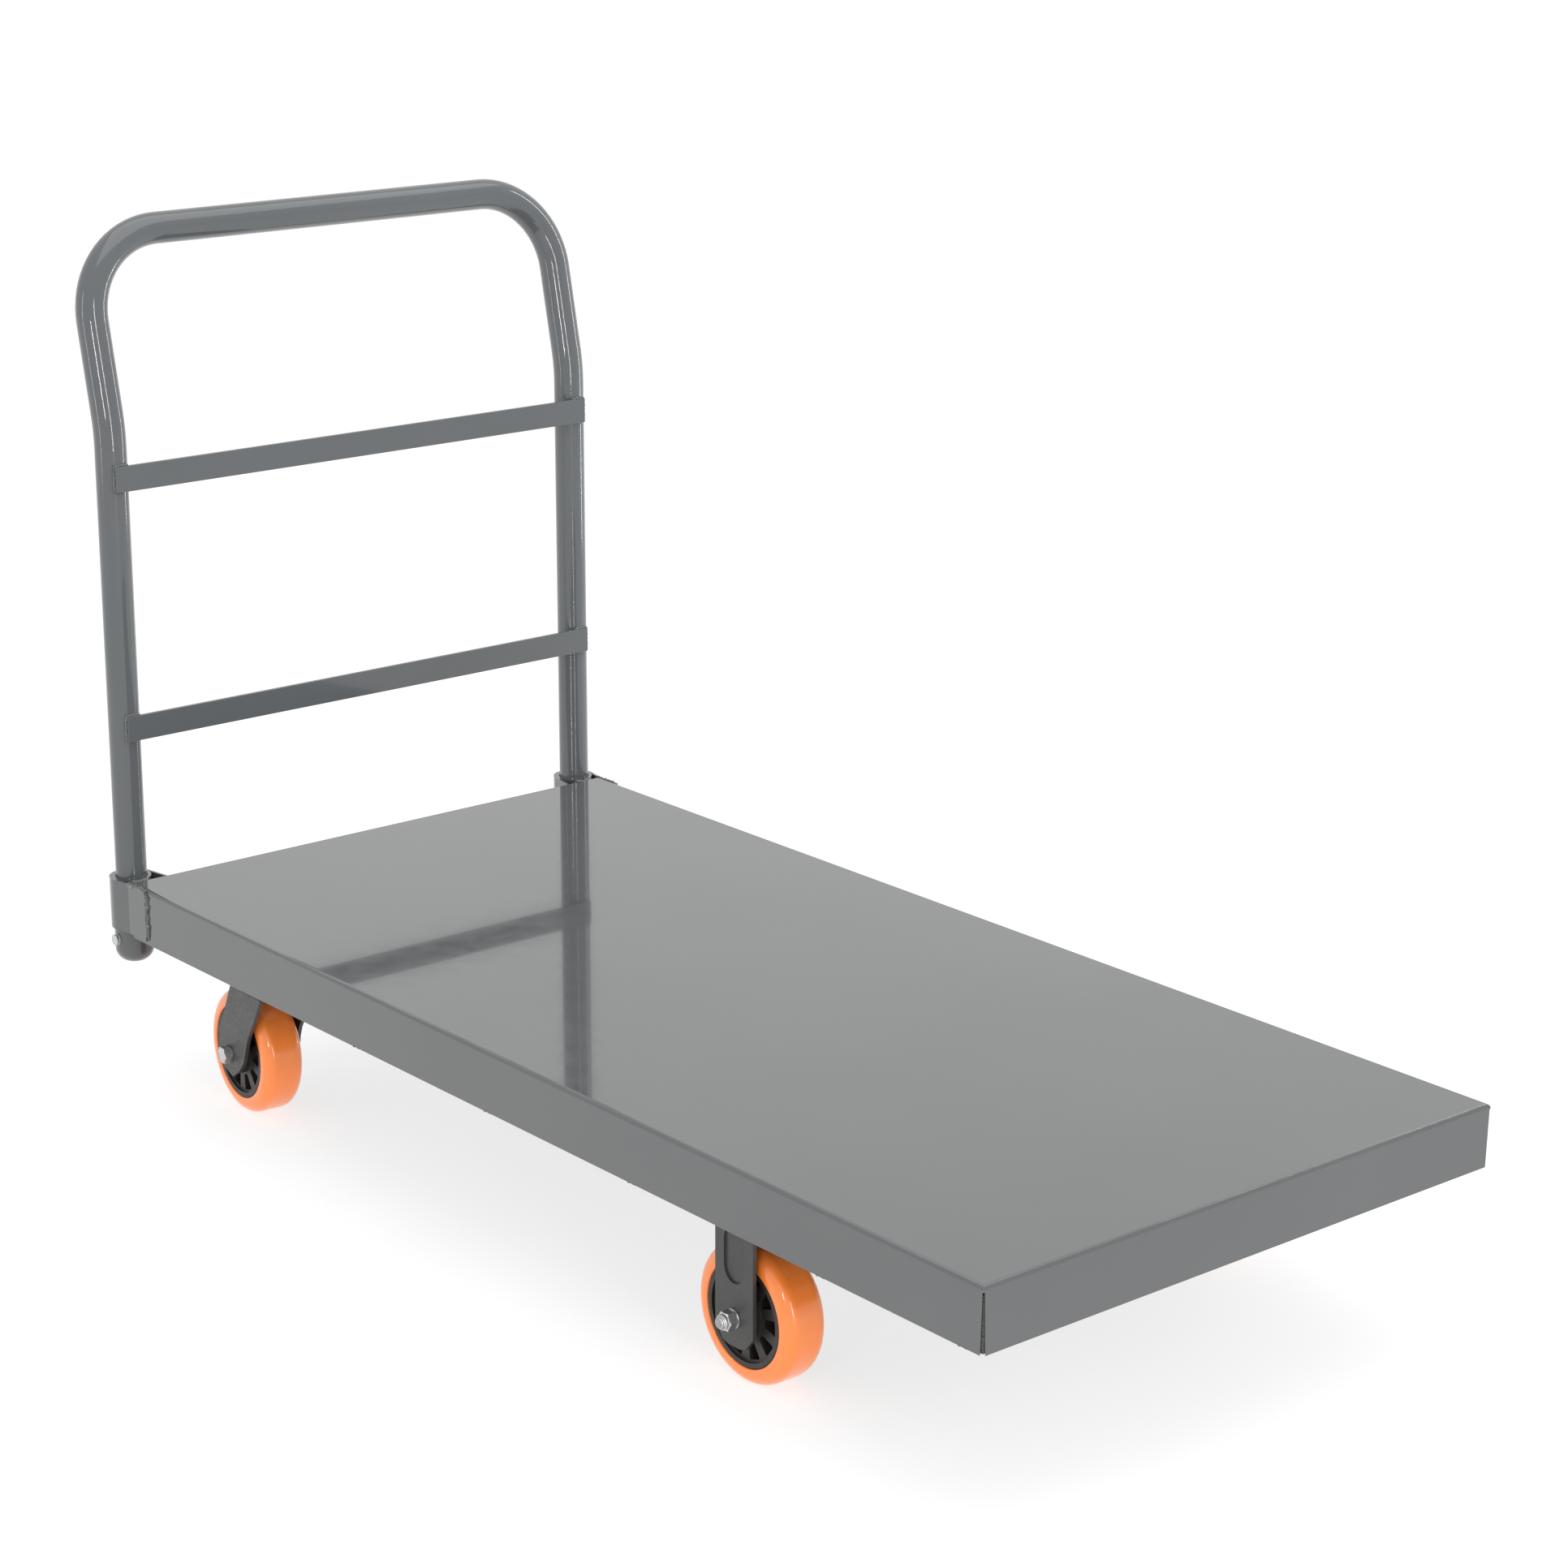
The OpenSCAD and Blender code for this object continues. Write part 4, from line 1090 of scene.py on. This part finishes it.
@dataclass
class AxleFastening:
    """Axle bolt with its head, lock nut and washers."""

    finishes: Finishes
    axle: Axle
    side: Side
    pitch: float = 1.95 * MM
    head: float = 6.5 * MM
    nut: float = 15 * MM
    washer: float = 2.5 * MM
    tip: float = 2.2 * MM
    core_r: float = 5.6 * MM
    flats: float = 19 * MM
    washer_r: float = 10.8 * MM
    bolt_r: float = 6.35 * MM
    collar_swivel: float = 5 * MM
    hex_part: float = 0.72
    rim_part: float = 0.485
    rim_h: float = 0.5 * MM
    crown_in: float = 1 * MM
    crown_fall: float = 1.6 * MM
    nylon_w: float = 1.2 * MM
    nylon_h: float = 4 * MM
    nylon_sink: float = 0.3 * MM
    edge: float = 0.4 * MM
    fork_t: float = 4.8 * MM

    @property
    def body(self) -> str:
        """Body that the axle is fixed to."""
        return f"swivel_{self.side.value}" if self.axle is Axle.REAR else "chassis"

    @property
    def leg_out(self) -> float:
        """Distance from the wheel's middle to a leg's outer face, in metres."""
        low, high = corners(f"axle_sleeve_front_{self.side.value}")
        return (high.y - low.y) / 2 + self.fork_t

    def build(self) -> None:
        """Replaces the plain bolt and nuts by chamfered and threaded ones."""
        name = f"{self.axle.value}_{self.side.value}"
        spin = joint(f"wheel_{name}_spin")
        axis = Vector(spin["axis"]) * self.side.sign
        centre = Vector(spin["pos_m"])
        rear = self.axle is Axle.REAR
        collar = self.collar_swivel if rear else self.washer
        # The bolt's head is outside on a swivel caster and inside on a rigid one
        head_way = axis if rear else -axis
        leg = self.leg_out
        zinc = self.finishes.by_slot[Slot.ZINC]
        bolt = bmesh.new()
        head_at = along(head_way, centre + head_way * (leg + collar))
        Hexagon(self.flats, self.head).build(bolt, head_at)
        rim = self.flats * self.rim_part
        turned(bolt, head_at, [(rim, 0.0), (rim, self.rim_h)])
        shank_at = along(-head_way, centre + head_way * (leg + collar))
        plain = 2 * leg + collar
        turned(bolt, shank_at, [(self.bolt_r, 0.0), (self.bolt_r, plain)])
        threaded(bolt, along(-head_way, centre - head_way * leg), self.bolt_r,
                 self.washer + self.nut + self.tip, self.pitch)
        turned(bolt, along(-head_way, centre - head_way * (leg + self.washer + self.nut)),
               [(self.core_r, 0.0), (self.core_r, self.tip - self.rim_h),
                (self.core_r - self.rim_h, self.tip)])
        piece_from(bolt, f"axle_bolt_{name}_threaded", zinc, self.body,
                   [f"axle_bolt_{name}"])
        self.nuts(name, centre, head_way, leg, collar, zinc)

    def nuts(self, name: str, centre: Vector, head_way: Vector, leg: float, collar: float,
             zinc: bpy.types.Material) -> None:
        """Adds the lock nut, its nylon ring, the washers and the ring under the head.

        Args:
            name: Name of the wheel.
            centre: Middle of the wheel, in metres.
            head_way: Direction in which the bolt's head looks.
            leg: Distance from the wheel's middle to a leg's outer face, in metres.
            collar: Thickness of the ring under the head, in metres.
            zinc: The finish.
        """
        bore = self.bolt_r + THREAD_PLAY
        nuts = bmesh.new()
        seat = along(-head_way, centre - head_way * leg)
        disc = [(bore, 0.0), (self.washer_r, 0.0), (self.washer_r, self.washer),
                (bore, self.washer)]
        turned(nuts, seat, rounded_profile(disc, self.edge), closed=True)
        nut_at = along(-head_way, centre - head_way * (leg + self.washer))
        hex_h = self.nut * self.hex_part
        Hexagon(self.flats, hex_h, bore=bore, both_ends=True).build(nuts, nut_at)
        crown_r = self.flats / 2 - self.crown_in
        ring_r = bore + self.nylon_w
        crown = [(ring_r, hex_h - self.crown_in), (crown_r, hex_h - self.crown_in),
                 (crown_r, self.nut - self.crown_fall), (crown_r - self.crown_fall, self.nut),
                 (ring_r, self.nut)]
        turned(nuts, nut_at, rounded_profile(crown, self.edge), closed=True)
        ring_at = along(head_way, centre + head_way * leg)
        if self.axle is Axle.REAR:
            Hexagon(self.flats, collar, bore=bore, both_ends=True).build(nuts, ring_at)
        else:
            turned(nuts, ring_at, rounded_profile(disc, self.edge), closed=True)
        piece_from(nuts, f"axle_nuts_{name}_chamfered", zinc, self.body,
                   [f"axle_nuts_{name}"])
        nylon = bmesh.new()
        low, high = self.nut - self.nylon_h, self.nut - self.nylon_sink
        inner = [(bore, low), (ring_r, low), (ring_r, high), (bore, high)]
        turned(nylon, nut_at, rounded_profile(inner, self.edge / 2), closed=True)
        piece_from(nylon, f"nylon_ring_{name}", self.finishes.nylon, self.body)


@dataclass
class Caster:
    """Fork, plate and swivel of one caster."""

    finishes: Finishes
    axle: Axle
    side: Side
    edge: float = 0.8 * MM
    plate_t: float = 6.3 * MM
    weld_out: float = 36.6 * MM
    weld_half: float = 27 * MM
    weld_sink: float = 0.6 * MM
    bead: float = 2.4 * MM

    def build(self) -> None:
        """Rounds and dresses the caster's steel parts."""
        name = self.side.value
        if self.axle is Axle.REAR:
            softened(f"swivel_fork_{name}", self.edge, self.finishes, Slot.FORK,
                     f"swivel_{name}")
            softened(f"swivel_plate_{name}", self.edge, self.finishes, Slot.FORK)
            softened(f"kingpin_{name}", self.edge / 2, self.finishes, Slot.ZINC)
            self.finishes.coat(frame["nodes"][f"swivel_balls_{name}"], Slot.STEEL)
        else:
            softened(f"rigid_fork_{name}", self.edge, self.finishes, Slot.FORK,
                     sharp=28.0)
            self.plate_welds()
        for part in ("axle_sleeve", "inner_races"):
            node = frame["nodes"][f"{part}_{self.axle.value}_{name}"]
            self.finishes.coat(node, Slot.ZINC if part == "axle_sleeve" else Slot.STEEL)

    def plate_welds(self) -> None:
        """Welds the rigid legs to their plate."""
        top_z = corners(f"rigid_fork_{self.side.value}")[1].z
        x, y, _ = Vector(joint(f"wheel_front_{self.side.value}_spin")["pos_m"])
        z = top_z - self.plate_t - self.weld_sink
        paths = [[Vector((x + s * self.weld_half, y + way * self.weld_out, z))
                  for s in (-1, 1)] for way in (-1, 1)]
        weld(f"fork_welds_{self.side.value}", paths, WeldBead(self.bead, seed=17),
             self.finishes, Slot.FORK)


@dataclass
class Wheel:
    """Tyre, hub and bearings of one wheel."""

    finishes: Finishes
    axle: Axle
    side: Side
    edge: float = 0.7 * MM
    parting: float = 0.35 * MM
    parting_w: float = 0.9 * MM
    parting_sink: float = 0.4 * MM
    seal_radii: tuple[float, float, float] = (13.6 * MM, 15 * MM, 19 * MM)
    seal_faces: Range = (-0.3 * MM, 0.4 * MM)
    seal_sink: float = 0.7 * MM
    seal_edge: float = 0.15 * MM

    def build(self) -> None:
        """Dresses the wheel and adds the mould's parting line and the bearing seals."""
        name = f"{self.axle.value}_{self.side.value}"
        body = f"wheel_{name}"
        self.finishes.coat(frame["nodes"][f"tyre_{name}"], Slot.TYRE)
        self.finishes.coat(frame["nodes"][f"wheel_bearings_{name}"], Slot.STEEL)
        softened(f"wheel_hub_{name}", self.edge, self.finishes, Slot.HUB, body)
        spin = joint(f"wheel_{name}_spin")
        axis = Vector(spin["axis"])
        centre = Vector(spin["pos_m"])
        radius = centre.z
        line = bmesh.new()
        w = self.parting_w
        root = radius - self.parting_sink
        profile = [(root, -w), (radius, -w / 3), (radius + self.parting / 3, 0.0),
                   (radius, w / 3), (root, w)]
        turned(line, along(axis, centre), profile, count=180, closed=True)
        piece_from(line, f"tyre_parting_{name}", self.finishes.by_slot[Slot.TYRE], body,
                   angle=80.0)
        self.seals(name, body, centre, axis)

    def seals(self, name: str, body: str, centre: Vector, axis: Vector) -> None:
        """Adds the dust seals in the ends of the hub.

        Args:
            name: Name of the wheel.
            body: Body that the wheel is.
            centre: Middle of the wheel, in metres.
            axis: The wheel's axis.
        """
        low, high = corners(f"wheel_hub_front_{self.side.value}")
        half = (high.y - low.y) / 2
        bore, lip, rim = self.seal_radii
        under, over = self.seal_faces
        profile = rounded_profile([(bore, under), (rim, under), (rim, over), (lip, over)],
                                  self.seal_edge, 2)
        bm = bmesh.new()
        for way in (-1, 1):
            at = along(axis * way, centre + axis * way * (half - self.seal_sink))
            turned(bm, at, profile, closed=True)
        piece_from(bm, f"bearing_seals_{name}", self.finishes.by_slot[Slot.HUB], body)


# ---- Studio ----


@dataclass(frozen=True)
class SoftBox:
    """Soft box that looks at one point of the truck."""

    name: str
    place: Point
    width: float
    height: float
    power: float
    aim: Point = (0.0, 0.0, 0.3)

    def hang(self) -> None:
        """Hangs the box."""
        lamp = bpy.data.lights.new(self.name, "AREA")
        lamp.shape = "RECTANGLE"
        lamp.size = self.width
        lamp.size_y = self.height
        lamp.energy = self.power
        holder = bpy.data.objects.new(self.name, lamp)
        holder.visible_camera = False
        way = Vector(self.aim) - Vector(self.place)
        holder.matrix_world = (Matrix.Translation(Vector(self.place))
                               @ way.to_track_quat("-Z", "Y").to_matrix().to_4x4())
        bpy.context.scene.collection.objects.link(holder)


@dataclass
class Studio:
    """Floor, lights and camera."""

    finishes: Finishes
    floor_half: float = 40.0
    azimuth: float = 50.0156
    elevation: float = 16.7413
    roll: float = 0.2138
    lens: float = 85.0
    sensor: float = 36.0
    place: Point = (3.0613, -2.4856, 1.6695)
    air: float = 0.92
    boxes: tuple[SoftBox, ...] = (
        SoftBox("right_strip", (-1.3, -3.4, 1.3), 0.06, 2.4, 8.0, (-0.74, -0.3, 1.3)),
        SoftBox("front_strip", (2.9, -1.0, 1.3), 0.14, 2.4, 26.0, (-0.74, 0.0, 1.3)),
        SoftBox("left_strip", (0.2, 2.2, 1.3), 0.08, 2.4, 14.0, (-0.74, 0.3, 1.3)),
        SoftBox("low_lamp", (2.2, -3.2, 1.5), 0.1, 0.7, 13.0),
        SoftBox("top_box", (0.2, 0.4, 4.2), 4.4, 4.4, 72.0),
    )

    def build(self) -> None:
        """Sets up the studio, with a plain view transform that leaves white paper white."""
        bpy.context.scene.view_settings.view_transform = "Standard"
        self.floor()
        self.lights()
        self.camera()

    def floor(self) -> None:
        """Lays the paper under the wheels."""
        bm = bmesh.new()
        bmesh.ops.create_grid(bm, x_segments=8, y_segments=8, size=self.floor_half)
        mesh = bpy.data.meshes.new("studio_floor")
        bm.to_mesh(mesh)
        bm.free()
        mesh.materials.append(self.finishes.paper)
        floor = bpy.data.objects.new("studio_floor", mesh)
        bpy.context.scene.collection.objects.link(floor)

    def lights(self) -> None:
        """Hangs soft boxes over an even white surround."""
        world = bpy.data.worlds.new("studio_air")
        bpy.context.scene.world = world
        world.use_nodes = True
        air = world.node_tree.nodes["Background"]
        air.inputs["Color"].default_value = (1.0, 1.0, 1.0, 1.0)
        air.inputs["Strength"].default_value = self.air
        for box in self.boxes:
            box.hang()

    def camera(self) -> None:
        """Sets the camera."""
        a = math.radians(self.azimuth)
        e = math.radians(self.elevation)
        back = Vector((math.sin(a) * math.cos(e), -math.cos(a) * math.cos(e), math.sin(e)))
        right = Vector((math.cos(a), math.sin(a), 0.0))
        turn = Matrix((right, back.cross(right), back)).transposed().to_4x4()
        data = bpy.data.cameras.new("camera")
        data.lens = self.lens
        data.sensor_width = self.sensor
        camera = bpy.data.objects.new("camera", data)
        camera.matrix_world = (Matrix.Translation(Vector(self.place)) @ turn
                               @ Matrix.Rotation(math.radians(self.roll), 4, "Z"))
        bpy.context.scene.collection.objects.link(camera)
        bpy.context.scene.camera = camera


def main() -> None:
    """Builds the truck's looks in order."""
    logging.basicConfig(level=logging.INFO, format="%(name)s: %(message)s")
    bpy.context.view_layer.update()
    finishes = Finishes()
    Studio(finishes).build()
    Deck(finishes).build()
    PushHandle(finishes).build()
    CasterFastening(finishes).build()
    for side in Side:
        HandleSocket(finishes, side).build()
        LockButton(finishes, side).build()
        for axle in Axle:
            Caster(finishes, axle, side).build()
            AxleFastening(finishes, axle, side).build()
            Wheel(finishes, axle, side).build()


if __name__ == "__main__":
    main()
